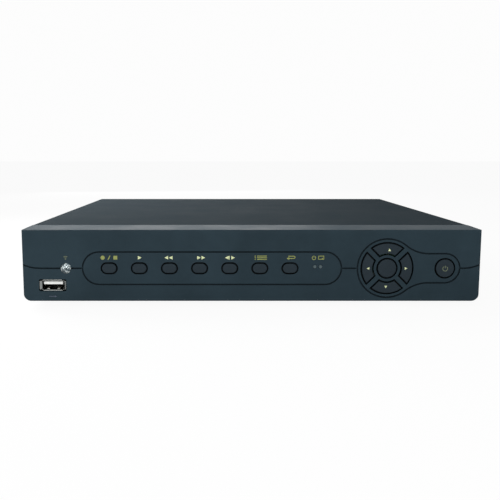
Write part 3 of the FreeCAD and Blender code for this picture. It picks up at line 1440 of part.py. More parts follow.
def vga_insert():
    """Moulded contact block with three rows of five holes."""
    back = PANEL_FRONT - SEAT
    front = back - VGA_BODY_DEPTH
    tip = PANEL_BACK + VGA_REACH - VGA_RECESS
    block = front_prism(d_shape(-SEAT), back - VGA_FLANGE, tip)
    high = VGA_Z + VGA_BODY_RISE
    body = box(around(VGA_X, VGA_FLANGE_WIDTH), (front, back - VGA_FLANGE), (BOARD_TOP, high))
    holes = []
    for row in (-1, 0, 1):
        for column in (-2, -1, 0, 1, 2):
            x = VGA_X + column * VGA_CONTACT_PITCH + row * VGA_STAGGER
            z = VGA_Z + row * VGA_ROW_PITCH
            depth = (tip - VGA_CONTACT_DEPTH, tip)
            holes.append(box(around(x, VGA_CONTACT), depth, around(z, VGA_CONTACT)))
    middle = (front + back) / 2
    passes = [rod(x, VGA_Z, VGA_POST_PASS, middle, back) for x in around(VGA_X, VGA_POST_SPACING)]
    return cut(fuse([body, block]), holes + passes)


def vga_posts():
    """Tapped hexagon posts either side of the monitor socket."""
    posts = []
    for x in around(VGA_X, VGA_POST_SPACING):
        head = front_prism(hexagon(x, VGA_Z, VGA_POST_FLATS), PANEL_BACK, PANEL_BACK + VGA_POST_REACH)
        shank = rod(x, VGA_Z, VGA_POST_SHANK, PANEL_FRONT - VGA_POST_SHANK_REACH, PANEL_BACK)
        bore_start = PANEL_BACK + VGA_POST_REACH - VGA_POST_BORE_DEPTH
        bore = rod(x, VGA_Z, VGA_POST_BORE, bore_start, PANEL_BACK + VGA_POST_REACH)
        posts.append(fuse([head, shank]).cut(bore))
    return posts


def lan_jack():
    """Network socket: a block with a stepped mouth for the plug and its latch."""
    back = PANEL_BACK + LAN_PROUD
    body = box(around(LAN_X, LAN_WIDTH), (back - LAN_DEPTH, back), (BOARD_TOP, BOARD_TOP + LAN_HEIGHT))
    low = BOARD_TOP + LAN_LIFT + LAN_NOTCH_HEIGHT
    mouth_y = (back - LAN_MOUTH_DEPTH, back)
    mouth = box(around(LAN_X, LAN_MOUTH_WIDTH), mouth_y, (low, low + LAN_MOUTH_HEIGHT))
    notch = box(around(LAN_X, LAN_NOTCH_WIDTH), mouth_y, (BOARD_TOP + LAN_LIFT, low))
    return cut(body, [mouth, notch])


def terminal_block():
    """Two-pole screw terminal for the camera control wires."""
    back = PANEL_BACK + TERMINAL_PROUD
    high = BOARD_TOP + TERMINAL_HEIGHT
    body = box(around(TERMINAL_X, TERMINAL_WIDTH), (back - TERMINAL_DEPTH, back), (BOARD_TOP, high))
    tools = []
    for x in around(TERMINAL_X, TERMINAL_POLE_PITCH):
        wire_z = around(BOARD_TOP + TERMINAL_WIRE_RISE, TERMINAL_WIRE_SIZE)
        tools.append(box(around(x, TERMINAL_WIRE_SIZE), (back - TERMINAL_WIRE_DEPTH, back), wire_z))
        screw_z = BOARD_TOP + TERMINAL_SCREW_RISE
        tools.append(rod(x, screw_z, TERMINAL_SCREW_RADIUS, back - TERMINAL_SCREW_DEPTH, back))
    return cut(body, tools)


def power_jack():
    """Supply socket: a block with a round well."""
    back = PANEL_BACK + POWER_JACK_PROUD
    x_span = around(POWER_JACK_X, POWER_JACK_WIDTH)
    body = box(x_span, (back - POWER_JACK_DEPTH, back), (BOARD_TOP, BOARD_TOP + POWER_JACK_HEIGHT))
    well = rod(POWER_JACK_X, POWER_JACK_LEVEL, POWER_JACK_BORE, back - POWER_JACK_BORE_DEPTH, back)
    return body.cut(well)


def power_pin():
    """The supply socket's centre pin."""
    back = PANEL_BACK + POWER_JACK_PROUD
    span = (back - POWER_JACK_BORE_DEPTH, back - POWER_PIN_SETBACK)
    return rod(POWER_JACK_X, POWER_JACK_LEVEL, POWER_JACK_PIN, *span)


# ------------------------------------------------------------------ fan
def fan_frame():
    """Square frame with a round duct, corner holes, struts and the bearing tube."""
    corners = rectangle(around(FAN_X, FAN_SIZE), around(FAN_Z, FAN_SIZE), FAN_CORNER)
    block = front_prism(corners, FAN_FRONT, FAN_BACK)
    duct = rod(FAN_X, FAN_Z, FAN_DUCT, FAN_FRONT - PAST, FAN_BACK + PAST)
    strut_span = (FAN_FRONT, FAN_FRONT + FAN_STRUT_DEPTH)
    pieces = [block.cut(duct), rod(FAN_X, FAN_Z, FAN_HUB_RADIUS, *strut_span)]
    for index in range(FAN_STRUTS):
        strut = box((0, FAN_DUCT + FAN_WALL / 2), strut_span, around(0, FAN_STRUT_WIDTH))
        strut.rotate(Vector(0, 0, 0), Vector(0, 1, 0), 90 + 360 / FAN_STRUTS * index)
        pieces.append(strut.translated(Vector(FAN_X, 0, FAN_Z)))
    pieces.append(rod(FAN_X, FAN_Z, FAN_TUBE_RADIUS, FAN_FRONT, FAN_BACK - FAN_TUBE_SETBACK))
    frame = fuse(pieces)
    tools = [rod(x, z, FAN_HOLE_RADIUS, FAN_FRONT - PAST, FAN_BACK + PAST) for x, z in fan_hole_places(True)]
    tools.append(rod(FAN_X, FAN_Z, FAN_SHAFT_RADIUS + RUNNING, FAN_FRONT + FAN_BORE_FLOOR, FAN_BACK))
    return cut(frame, tools)


def blade_section(radius, pitch_degrees, chord):
    """A slanted section in the plane that stands at radius from the fan's axis."""
    slope = math.radians(pitch_degrees)
    along = Vector(0, math.sin(slope), math.cos(slope))
    up = Vector(0, math.cos(slope), -math.sin(slope))
    middle_y = (FAN_FRONT + FAN_STRUT_DEPTH + FAN_BACK) / 2
    centre = Vector(radius, middle_y, 0)
    chord_half = along * (chord / 2)
    thick_half = up * (FAN_BLADE_THICKNESS / 2)
    corners = [
        centre - chord_half - thick_half,
        centre + chord_half - thick_half,
        centre + chord_half + thick_half,
        centre - chord_half + thick_half,
    ]
    return Part.makePolygon(corners + [corners[0]])


def fan_rotor():
    """Cup-shaped hub with a shaft and twisted blades, which are lofted from root to tip."""
    front = FAN_FRONT + FAN_STRUT_DEPTH + FAN_HUB_GAP
    back = FAN_BACK - FAN_HUB_SETBACK
    shaft_end = FAN_FRONT + FAN_SHAFT_SETBACK
    cup_floor = back - FAN_HUB_WALL
    cup = (
        (front, FAN_HUB_RADIUS - FAN_HUB_WALL),
        (front, FAN_HUB_RADIUS),
        (back, FAN_HUB_RADIUS),
        (back, 0),
        (shaft_end, 0),
        (shaft_end, FAN_SHAFT_RADIUS),
        (cup_floor, FAN_SHAFT_RADIUS),
        (cup_floor, FAN_HUB_RADIUS - FAN_HUB_WALL),
    )
    tip_radius = FAN_DUCT - FAN_TIP_GAP
    root = blade_section(FAN_HUB_RADIUS - FAN_HUB_WALL / 2, FAN_ROOT_PITCH, FAN_ROOT_CHORD)
    tip = blade_section(tip_radius + FAN_TIP_GAP, FAN_TIP_PITCH, FAN_TIP_CHORD)
    blade = Part.makeLoft([root, tip], True, True)
    swept = rod(0, 0, tip_radius, front, back)
    blade = blade.common(swept)
    pieces = [turned(cup, 0, 0)]
    for index in range(FAN_BLADES):
        copy = blade.copy()
        copy.rotate(Vector(0, 0, 0), Vector(0, 1, 0), 360 / FAN_BLADES * index)
        pieces.append(copy)
    return fuse(pieces).translated(Vector(FAN_X, 0, FAN_Z))


# ------------------------------------------------------------------ inner leads
def ribbon_cable():
    """Flat lead from the front board, down to the tray's floor and up to the main board, with its plugs."""
    start = FRONT_BOARD + BOARD_THICKNESS
    width, plug_size, plug_depth = RIBBON_PLUG
    low = FLOOR + RIBBON_LIFT + RIBBON_THICKNESS / 2
    header_y = BOARD_FRONT + RIBBON_HEADER
    header_top = BOARD_TOP + plug_depth
    drop = CASE_FRONT + SHEET + RIBBON_DROP
    turn = BOARD_FRONT - RIBBON_TURN
    arch = header_top + RIBBON_ARCH
    path = [
        (start + plug_depth - RIBBON_BITE, RIBBON_FRONT_Z),
        (drop, RIBBON_FRONT_Z),
        (drop, low),
        (turn, low),
        (turn, arch),
        (header_y, arch),
        (header_y, header_top - RIBBON_BITE),
    ]
    left = RIBBON_X - RIBBON_WIDTH / 2
    draw = Vector(RIBBON_WIDTH, 0, 0)
    strip = band(path, RIBBON_RADIUS, RIBBON_THICKNESS, lambda u, v: Vector(left, u, v), draw)
    front_plug = box(around(RIBBON_X, width), (start, start + plug_depth), around(RIBBON_FRONT_Z, plug_size))
    board_plug = box(around(RIBBON_X, width), around(header_y, plug_size), (BOARD_TOP, header_top))
    return fuse([strip, front_plug, board_plug])


def drive_lead(y_drive, x_board, thickness, height, plug_width, board_plug_width):
    """A flat lead from the drive's right end, round to a plug over the main board's front edge."""
    plug_start = DRIVE_RIGHT + SEAT
    low = LEAD_HEIGHT - height / 2
    path = [
        (plug_start + PLUG_LENGTH - LEAD_BITE, y_drive),
        (x_board, y_drive),
        (x_board, BOARD_FRONT - SEAT),
    ]
    strip = band(path, LEAD_RADIUS, thickness, lambda u, v: Vector(u, v, low), Vector(0, 0, height))
    drive_plug = box((plug_start, plug_start + PLUG_LENGTH), around(y_drive, plug_width), (low, low + height))
    plug_y = (BOARD_FRONT - PLUG_LENGTH / 2, BOARD_FRONT + PLUG_LENGTH / 2)
    board_plug = box(around(x_board, board_plug_width), plug_y, (BOARD_TOP, BOARD_TOP + height))
    return fuse([strip, drive_plug, board_plug])


def sata_cable():
    """Data lead of the drive."""
    x_board = DRIVE_RIGHT + SATA_REACH
    return drive_lead(SATA_Y, x_board, SATA_THICKNESS, SATA_HEIGHT, SATA_PLUG, SATA_BOARD_PLUG)


def supply_cable():
    """Supply lead of the drive."""
    x_board = DRIVE_RIGHT + SUPPLY_REACH
    return drive_lead(SUPPLY_Y, x_board, SUPPLY_THICKNESS, SUPPLY_HEIGHT, SUPPLY_PLUG, SUPPLY_BOARD_PLUG)


# ------------------------------------------------------------------ all sub-parts
def build():
    """Write every sub-part."""
    export("front_bezel", front_bezel())
    for name, x in zip(KEY_NAMES, key_centres()):
        export("key_" + name, function_key(x))
    for name in NAV_DIRECTIONS:
        export("key_" + name, direction_key(name))
    export("key_enter", round_key(NAV_X, ENTER_RADIUS, NAV_GAP + ENTER_LIP))
    export("key_power", round_key(POWER_X, POWER_RADIUS, KEY_GAP + FLANGE_LIP))
    export("ir_lens", ir_lens())
    export("ir_receiver", ir_receiver())
    export("status_leds", status_leds())
    front_mouth = FRONT_BOARD - USB_DEPTH
    rear_mouth = PANEL_BACK + REAR_USB_PROUD
    export("front_usb_shell", usb_shell(FRONT_USB_X, FRONT_USB_Z, front_mouth, 1))
    export("rear_usb_shell", usb_shell(REAR_USB_X, REAR_USB_Z, rear_mouth, -1))
    tongues = [
        usb_tongue(FRONT_USB_X, FRONT_USB_Z, front_mouth, 1),
        usb_tongue(REAR_USB_X, REAR_USB_Z, rear_mouth, -1),
    ]
    export("usb_tongues", tongues)
    export("front_board", front_board())
    export("front_board_screws", front_board_screws())
    export("tact_switches", tact_switches())
    export("top_cover", top_cover())
    export("chassis_tray", chassis_tray())
    export("rear_panel", rear_panel())
    export("side_screws", side_screws())
    export("rear_screws", rear_screws())
    export("rubber_feet", rubber_feet())
    export("drive_case", drive_case())
    export("drive_lid", drive_lid())
    export("drive_board", drive_board())
    export("drive_screws", drive_screws())
    export("main_board", main_board())
    export("board_standoffs", board_standoffs())
    export("board_screws", board_screws())
    export("processor", processor())
    export("heatsink", heatsink())
    export("board_chips", board_chips())
    export("capacitors", capacitors())
    export("coin_cell", coin_cell())
    export("coin_cell_holder", coin_cell_holder())
    export("bnc_bodies", bnc_bodies())
    export("bnc_shells", bnc_shells())
    export("bnc_inserts", bnc_inserts())
    export("audio_bodies", audio_bodies())
    export("audio_shells", audio_shells())
    export("audio_inserts", audio_inserts())
    export("vga_shell", vga_shell())
    export("vga_insert", vga_insert())
    export("vga_posts", vga_posts())
    export("lan_jack", lan_jack())
    export("terminal_block", terminal_block())
    export("power_jack", power_jack())
    export("power_pin", power_pin())
    export("fan_frame", fan_frame())
    export("fan_rotor", fan_rotor())
    export("ribbon_cable", ribbon_cable())
    export("sata_cable", sata_cable())
    export("supply_cable", supply_cable())


build()
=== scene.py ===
import math

import bmesh
import bpy
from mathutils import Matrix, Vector


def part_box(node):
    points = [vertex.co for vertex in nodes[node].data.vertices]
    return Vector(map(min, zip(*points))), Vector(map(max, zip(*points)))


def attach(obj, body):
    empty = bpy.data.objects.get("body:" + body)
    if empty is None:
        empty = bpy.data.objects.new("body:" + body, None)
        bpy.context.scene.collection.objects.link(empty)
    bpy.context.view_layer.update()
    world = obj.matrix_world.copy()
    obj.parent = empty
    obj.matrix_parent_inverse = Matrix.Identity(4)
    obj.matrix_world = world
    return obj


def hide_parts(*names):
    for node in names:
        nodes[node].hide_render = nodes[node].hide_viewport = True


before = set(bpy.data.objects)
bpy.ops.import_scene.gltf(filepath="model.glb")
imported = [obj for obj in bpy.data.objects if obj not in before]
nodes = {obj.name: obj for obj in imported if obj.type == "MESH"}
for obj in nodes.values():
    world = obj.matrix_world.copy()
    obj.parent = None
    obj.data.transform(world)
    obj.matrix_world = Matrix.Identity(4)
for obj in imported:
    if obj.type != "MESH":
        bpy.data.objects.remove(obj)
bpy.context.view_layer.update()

MM = 0.001
ROOT = "recorder"

FACE_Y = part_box("front_bezel")[0].y
BASE_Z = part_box("front_bezel")[0].z
X_AXIS, Y_AXIS, Z_AXIS = Vector((1, 0, 0)), Vector((0, 1, 0)), Vector((0, 0, 1))
TO_REAR = (-X_AXIS, Z_AXIS, Y_AXIS)  # across, up and out of the rear face


def middle(node):
    """The middle of a node's box."""
    low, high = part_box(node)
    return (low + high) / 2


# ------------------------------------------------------------------ shader helpers
def srgb(red, green, blue):
    """Linear colour from 8-bit display values."""
    def linear(value):
        value /= 255
        return value / 12.92 if value <= 0.04045 else ((value + 0.055) / 1.055) ** 2.4
    return (linear(red), linear(green), linear(blue), 1.0)


def scaled(colour, factor):
    """A colour made lighter or darker by a factor."""
    return (colour[0] * factor, colour[1] * factor, colour[2] * factor, 1.0)


class Tree:
    """A short way to add and join the shader nodes of a material or world."""

    def __init__(self, owner):
        owner.use_nodes = True
        self.tree = owner.node_tree
        self.tree.nodes.clear()

    def add(self, kind, **settings):
        """A new node with some of its settings."""
        node = self.tree.nodes.new(kind)
        for key, value in settings.items():
            setattr(node, key, value)
        return node

    def join(self, start, end):
        """A link from an output to an input."""
        self.tree.links.new(start, end)

    def background_rays(self):
        """One for camera, glossy and transmission rays, which see the white background, else zero."""
        path = self.add("ShaderNodeLightPath")
        share = path.outputs["Is Camera Ray"]
        for ray in ("Is Glossy Ray", "Is Transmission Ray"):
            larger = self.add("ShaderNodeMath", operation="MAXIMUM")
            self.join(share, larger.inputs[0])
            self.join(path.outputs[ray], larger.inputs[1])
            share = larger.outputs[0]
        return share

    def mix_shaders(self, share, first, second, output):
        """Shows the second shader by a share, and the first by the rest."""
        mix = self.add("ShaderNodeMixShader")
        self.join(share, mix.inputs["Fac"])
        self.join(first.outputs[0], mix.inputs[1])
        self.join(second.outputs[0], mix.inputs[2])
        self.join(mix.outputs[0], output.inputs["Surface"])


class Finish(Tree):
    """One material with a principled shader and its patterns, in the object's own coordinates."""

    def __init__(self, name):
        self.material = bpy.data.materials.new(name)
        super().__init__(self.material)
        output = self.add("ShaderNodeOutputMaterial")
        self.shader = self.add("ShaderNodeBsdfPrincipled")
        self.join(self.shader.outputs["BSDF"], output.inputs["Surface"])
        self.place = self.add("ShaderNodeTexCoord").outputs["Object"]

    def noise(self, scale, detail=4.0, roughness=0.5, stretch=None):
        """Noise of a scale per metre, optionally stretched by a factor for each axis."""
        node = self.add("ShaderNodeTexNoise")
        node.inputs["Scale"].default_value = scale
        node.inputs["Detail"].default_value = detail
        node.inputs["Roughness"].default_value = roughness
        start = self.place
        if stretch:
            mapping = self.add("ShaderNodeMapping")
            mapping.inputs["Scale"].default_value = stretch
            self.join(start, mapping.inputs["Vector"])
            start = mapping.outputs["Vector"]
        self.join(start, node.inputs["Vector"])
        return node.outputs["Fac"]

    def spread(self, factor, low, high, start=0.3, end=0.7):
        """Maps a factor's range from start to end on to low to high."""
        node = self.add("ShaderNodeMapRange")
        node.inputs["From Min"].default_value = start
        node.inputs["From Max"].default_value = end
        node.inputs["To Min"].default_value = low
        node.inputs["To Max"].default_value = high
        self.join(factor, node.inputs["Value"])
        return node.outputs["Result"]

    def cells(self, scale):
        """Random grey and distance from the middle, for cells of a scale per metre."""
        node = self.add("ShaderNodeTexVoronoi")
        node.inputs["Scale"].default_value = scale
        self.join(self.place, node.inputs["Vector"])
        grey = self.add("ShaderNodeRGBToBW")
        self.join(node.outputs["Color"], grey.inputs["Color"])
        return grey.outputs["Val"], node.outputs["Distance"]

    def blend(self, factor, first, second):
        """Mixes two colours, or a socket and a colour, by a factor."""
        node = self.add("ShaderNodeMix", data_type="RGBA")
        self.join(factor, node.inputs["Factor"])
        sockets = [s for s in node.inputs if s.type == "RGBA"]
        for socket, value in zip(sockets, (first, second)):
            if isinstance(value, tuple):
                socket.default_value = value
            else:
                self.join(value, socket)
        return [s for s in node.outputs if s.type == "RGBA"][0]

    def edge_mask(self, radius):
        """High along convex and concave edges, from the difference between rounded and true normals."""
        rounded = self.add("ShaderNodeBevel", samples=4)
        rounded.inputs["Radius"].default_value = radius
        geometry = self.add("ShaderNodeNewGeometry")
        dot = self.add("ShaderNodeVectorMath", operation="DOT_PRODUCT")
        self.join(rounded.outputs["Normal"], dot.inputs[0])
        self.join(geometry.outputs["Normal"], dot.inputs[1])
        return self.spread(dot.outputs["Value"], 1.0, 0.0, start=0.80, end=0.995)

    def shade_openness(self, reach):
        """Low inside gaps and grooves narrower than a reach; it sets where shade is painted into them.
        """
        node = self.add("ShaderNodeAmbientOcclusion", samples=8)
        node.inputs["Distance"].default_value = reach
        return node.outputs["AO"]

    def colour(self, tone):
        """Gives the shader its colour."""
        self.join(tone, self.shader.inputs["Base Color"])

    def gloss(self, factor, low, high):
        """Gives the shader an uneven roughness."""
        self.join(self.spread(factor, low, high), self.shader.inputs["Roughness"])

    def bump(self, height, strength, distance, edge_radius=0.0):
        """Bump from a height, over softly rounded edges."""
        node = self.add("ShaderNodeBump")
        node.inputs["Strength"].default_value = strength
        node.inputs["Distance"].default_value = distance
        self.join(height, node.inputs["Height"])
        if edge_radius:
            rounded = self.add("ShaderNodeBevel", samples=4)
            rounded.inputs["Radius"].default_value = edge_radius
            self.join(rounded.outputs["Normal"], node.inputs["Normal"])
        self.join(node.outputs["Normal"], self.shader.inputs["Normal"])


GRAIN_DEPTH = 0.08 * MM
GLOSS_SPREAD = 0.06


def surface(
    name,
    colour,
    roughness,
    metallic=0.0,
    specular=0.5,
    mottle=0.08,
    mottle_scale=60.0,
    grain_scale=2500.0,
    grain_strength=0.15,
    grain_stretch=None,
    edge_radius=0.3 * MM,
    edge_wear_and_highlight=1.25,
    coat=0.0,
    painted_shade_reach=0.0,
    painted_shade_tone=0.3,
):
    """A moulded, painted or metal surface with colour variation, grain, uneven gloss, edges lightened
    partly as wear and partly as painted highlight, and optional painted shade in gaps and grooves.
    """
    finish = Finish(name)
    finish.shader.inputs["Metallic"].default_value = metallic
    finish.shader.inputs["Specular IOR Level"].default_value = specular
    finish.shader.inputs["Coat Weight"].default_value = coat
    broad = finish.noise(mottle_scale, detail=5.0, roughness=0.6)
    darker, lighter = scaled(colour, 1 - mottle), scaled(colour, 1 + mottle)
    tone = finish.blend(finish.spread(broad, 0.0, 1.0), darker, lighter)
    # edges lightened: partly wear, partly a painted highlight along them
    tone = finish.blend(finish.edge_mask(edge_radius), tone, scaled(colour, edge_wear_and_highlight))
    # painted shade: gaps, grooves and hollows darken towards a dark copy of the colour, the more closed
    # in they are
    if painted_shade_reach:
        painted_shade_openness = finish.spread(finish.shade_openness(painted_shade_reach), 0.0, 1.0, start=0.4, end=0.85)
        tone = finish.blend(painted_shade_openness, scaled(colour, painted_shade_tone), tone)
    finish.colour(tone)
    finish.gloss(broad, roughness - GLOSS_SPREAD, roughness + GLOSS_SPREAD)
    grain = finish.noise(grain_scale, detail=3.0, roughness=0.6, stretch=grain_stretch)
    finish.bump(grain, grain_strength, GRAIN_DEPTH, edge_radius)
    return finish.material


# ------------------------------------------------------------------ materials
# its grooves and the gaps round the keys get painted shade
bezel_plastic = surface(
    "bezel_plastic", srgb(41, 54, 61), 0.46, specular=0.025, mottle=0.13, mottle_scale=34,
    grain_scale=1800, grain_strength=0.22, edge_wear_and_highlight=1.7, painted_shade_reach=1.4 * MM, painted_shade_tone=0.12,
)
# painted shade in the gaps round the keys
key_plastic = surface(
    "key_plastic", srgb(38, 47, 53), 0.42, specular=0.06,
    grain_scale=2600, grain_strength=0.12, edge_wear_and_highlight=1.4, painted_shade_reach=1.6 * MM, painted_shade_tone=0.12,
)
cover_paint = surface(
    "cover_paint", srgb(34, 43, 48), 0.8, specular=0.015, mottle=0.07, mottle_scale=30,
    grain_scale=900, grain_strength=0.35,
)
panel_paint = surface(
    "panel_paint", srgb(34, 38, 41), 0.6, specular=0.15, grain_scale=900, grain_strength=0.3,
)
rubber = surface("foot_rubber", srgb(30, 30, 31), 0.85, specular=0.2, grain_strength=0.3)
switch_plastic = surface("switch_plastic", srgb(34, 34, 35), 0.5)
lamp_plastic = surface("lamp_plastic", srgb(70, 84, 88), 0.3, specular=0.3)
receiver_plastic = surface("receiver_plastic", srgb(40, 36, 40), 0.25, specular=0.5)

# metals
screw_steel = surface("screw_steel", srgb(190, 190, 186), 0.3, metallic=1.0, grain_scale=3000)
# the socket's inside is darkened almost to black as painted shade
socket_steel = surface(
    "socket_steel", srgb(138, 141, 140), 0.26, metallic=1.0, mottle=0.14, grain_strength=0.05,
    painted_shade_reach=5 * MM, painted_shade_tone=0.03,
)
nickel = surface("jack_nickel", srgb(205, 200, 188), 0.22, metallic=1.0, grain_strength=0.05)
casting = surface(
    "drive_casting", srgb(140, 143, 145), 0.5, metallic=0.8, grain_scale=900, grain_strength=0.4,
)
lid_steel = surface(
    "drive_lid_steel", srgb(190, 190, 188), 0.28, metallic=1.0, grain_stretch=(0.05, 1, 1),
)
brass = surface("pin_brass", srgb(205, 170, 92), 0.26, metallic=1.0)
sink = surface(
    "sink_aluminium", srgb(120, 126, 132), 0.42, metallic=0.9, grain_stretch=(1, 0.05, 1),
)
cell_steel = surface("cell_steel", srgb(205, 205, 200), 0.22, metallic=1.0)

# sockets, chips and leads
black_plastic = surface("black_plastic", srgb(26, 27, 28), 0.45, specular=0.3, edge_wear_and_highlight=1.8)
white_plastic = surface("tongue_plastic", srgb(226, 227, 224), 0.35, mottle=0.03, edge_wear_and_highlight=1.05)
white_core = surface("dielectric", srgb(226, 226, 218), 0.45, mottle=0.03, edge_wear_and_highlight=1.05)
ivory = surface("audio_plastic", srgb(222, 214, 196), 0.4, mottle=0.03, edge_wear_and_highlight=1.05)
audio_red = surface("audio_red", srgb(170, 34, 30), 0.35, mottle=0.05)
audio_green = surface("audio_green", srgb(46, 120, 62), 0.35, mottle=0.05)
vga_blue = surface("vga_plastic", srgb(36, 62, 140), 0.4)
lan_black = surface("lan_plastic", srgb(28, 28, 29), 0.4)
terminal_green = surface("terminal_plastic", srgb(44, 126, 72), 0.4)
epoxy = surface("chip_epoxy", srgb(36, 36, 38), 0.55, grain_strength=0.25)
capacitor_sleeve = surface("capacitor_sleeve", srgb(34, 38, 74), 0.25, coat=0.3)
grey_sleeve = surface(
    "ribbon_sleeve", srgb(140, 142, 144), 0.5, grain_strength=0.5, grain_stretch=(1, 0.02, 0.02),
)
red_sleeve = surface("data_sleeve", srgb(150, 28, 24), 0.45)

# inks
ink = surface("symbol_ink", srgb(208, 216, 168), 0.6, specular=0.2, mottle=0.06, grain_scale=4000)
dim_ink = surface(
    "symbol_ink_dim", srgb(136, 142, 82), 0.6, specular=0.2, mottle=0.12, mottle_scale=900,
    grain_scale=4000,
)
faint_ink = surface(
    "symbol_ink_faint", srgb(98, 106, 86), 0.6, specular=0.2, mottle=0.12, grain_scale=4000,
)
grey_ink = surface(
    "symbol_ink_grey", srgb(72, 80, 94), 0.6, specular=0.2, mottle=0.12, grain_scale=4000,
)


def zinc_material():
    """Galvanised sheet with its crystal pattern."""
    finish = Finish("tray_zinc")
    finish.shader.inputs["Metallic"].default_value = 0.9
    grey, _ = finish.cells(170)
    crystals = finish.spread(grey, 0, 1, start=0.2, end=0.8)
    edge = 0.4 * MM
    tone = finish.blend(crystals, srgb(166, 169, 171), srgb(184, 187, 188))
    # edges lightened: partly wear, partly a painted highlight along them
    finish.colour(finish.blend(finish.edge_mask(edge), tone, srgb(214, 216, 216)))
    finish.gloss(grey, 0.34, 0.5)
    finish.bump(finish.noise(700), 0.15, GRAIN_DEPTH, edge)
    return finish.material


def board_material():
    """Solder mask over copper tracks, with a scatter of plated holes."""
    finish = Finish("circuit_board")
    finish.shader.inputs["Coat Weight"].default_value = 0.3
    tracks = finish.add("ShaderNodeTexBrick", offset=0.37, squash=1.6, squash_frequency=3)
    tracks.inputs["Scale"].default_value = 110
    tracks.inputs["Mortar Size"].default_value = 0.06
    tracks.inputs["Color1"].default_value = srgb(22, 78, 46)
    tracks.inputs["Color2"].default_value = srgb(25, 84, 50)
    tracks.inputs["Mortar"].default_value = srgb(48, 116, 70)
    finish.join(finish.place, tracks.inputs["Vector"])
    _, distance = finish.cells(260)
    holes = finish.spread(distance, 1, 0, start=0.10, end=0.16)
    finish.colour(finish.blend(holes, tracks.outputs["Color"], srgb(196, 178, 120)))
    finish.gloss(finish.noise(90), 0.28, 0.42)
    finish.bump(tracks.outputs["Fac"], 0.3, 0.04 * MM)
    return finish.material


def lens_material():
    """The window as a silvered, faceted reflector under a clear coat, with cells painted dark and
    bright as painted reflections off its facets.
    """
    finish = Finish("clear_lens")
    finish.shader.inputs["Metallic"].default_value = 0.75
    finish.shader.inputs["Coat Weight"].default_value = 0.6
    finish.shader.inputs["Coat Roughness"].default_value = 0.04
    grey, distance = finish.cells(1100)
    painted_glint_cells = finish.spread(grey, 0, 1, start=0.4, end=0.75)
    finish.colour(finish.blend(painted_glint_cells, srgb(48, 62, 68), srgb(186, 196, 196)))
    finish.gloss(grey, 0.12, 0.3)
    finish.bump(distance, 0.8, 0.4 * MM)
    return finish.material


zinc = zinc_material()
board_green = board_material()
lens = lens_material()

DRESSING = (
    (bezel_plastic, ("front_bezel",)),
    (key_plastic, tuple(node for node in nodes if node.startswith("key_"))),
    (cover_paint, ("top_cover",)),
    (panel_paint, ("rear_panel",)),
    (zinc, ("chassis_tray",)),
    (screw_steel, ("front_board_screws", "side_screws", "rear_screws", "drive_screws", "board_screws")),
    (socket_steel, ("front_usb_shell", "rear_usb_shell", "vga_shell")),
    (nickel, ("bnc_shells", "audio_shells", "vga_posts")),
    (white_plastic, ("usb_tongues",)),
    (black_plastic, ("bnc_bodies", "audio_bodies", "power_jack", "fan_frame", "fan_rotor")),
    (black_plastic, ("coin_cell_holder", "supply_cable")),
    (switch_plastic, ("tact_switches",)),
    (board_green, ("front_board", "main_board", "drive_board")),
    (rubber, ("rubber_feet",)),
    (casting, ("drive_case",)),
    (lid_steel, ("drive_lid",)),
    (brass, ("board_standoffs", "power_pin")),
    (epoxy, ("processor", "board_chips")),
    (sink, ("heatsink",)),
    (capacitor_sleeve, ("capacitors",)),
    (cell_steel, ("coin_cell",)),
    (white_core, ("bnc_inserts",)),
    (ivory, ("audio_inserts",)),
    (vga_blue, ("vga_insert",)),
    (lan_black, ("lan_jack",)),
    (terminal_green, ("terminal_block",)),
    (grey_sleeve, ("ribbon_cable",)),
    (red_sleeve, ("sata_cable",)),
    (lamp_plastic, ("status_leds",)),
    (receiver_plastic, ("ir_receiver",)),
    (lens, ("ir_lens",)),
)
for material, names in DRESSING:
    for name in names:
        slots = nodes[name].data.materials
        slots.clear()
        slots.append(material)


# ------------------------------------------------------------------ pieces from mesh code
def finish_mesh(name, mesh, body, material):
    """Turns a bmesh into a piece with a material, parented to a body."""
    bmesh.ops.recalc_face_normals(mesh, faces=mesh.faces)
    data = bpy.data.meshes.new(name)
    mesh.to_mesh(data)
    mesh.free()
    piece = bpy.data.objects.new(name, data)
    bpy.context.scene.collection.objects.link(piece)
    data.materials.append(material)
    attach(piece, body)
    return piece


def around(count):
    """Each number up to a count with the next one, closed to a ring."""
    return [(n, (n + 1) % count) for n in range(count)]


def prisms(name, shapes, near, far, body, material):
    """Shapes in the XZ plane as prisms between two levels of Y, joined in one piece."""
    mesh = bmesh.new()
    for shape in shapes:
        front, back = [
            [mesh.verts.new((x * MM, level, z * MM)) for x, z in shape] for level in (near, far)
        ]
        mesh.faces.new(front)
        mesh.faces.new(back[::-1])
        for here, after in around(len(shape)):
            mesh.faces.new((front[here], back[here], back[after], front[after]))
    return finish_mesh(name, mesh, body, material)


# ------------------------------------------------------------------ drawn shapes, in millimetres
def bar(x, z, width, height):
    """An upright rectangle round a point."""
    left, right = x - width / 2, x + width / 2
    bottom, top = z - height / 2, z + height / 2
    return [(left, bottom), (right, bottom), (right, top), (left, top)]


def on_circle(x, z, radius, angle):
    """A point on a circle."""
    return (x + radius * math.cos(angle), z + radius * math.sin(angle))


def disc(x, z, radius, count=28):
    """A round dot."""
    turn = 2 * math.pi / count
    return [on_circle(x, z, radius, n * turn) for n in range(count)]


def triangle(x, z, width, height, degrees=0):
    """A triangle that points right, turned by an angle."""
    angle = math.radians(degrees)
    cos, sin = math.cos(angle), math.sin(angle)
    corners = ((-width / 2, -height / 2), (width / 2, 0), (-width / 2, height / 2))
    return [(x + u * cos - v * sin, z + u * sin + v * cos) for u, v in corners]


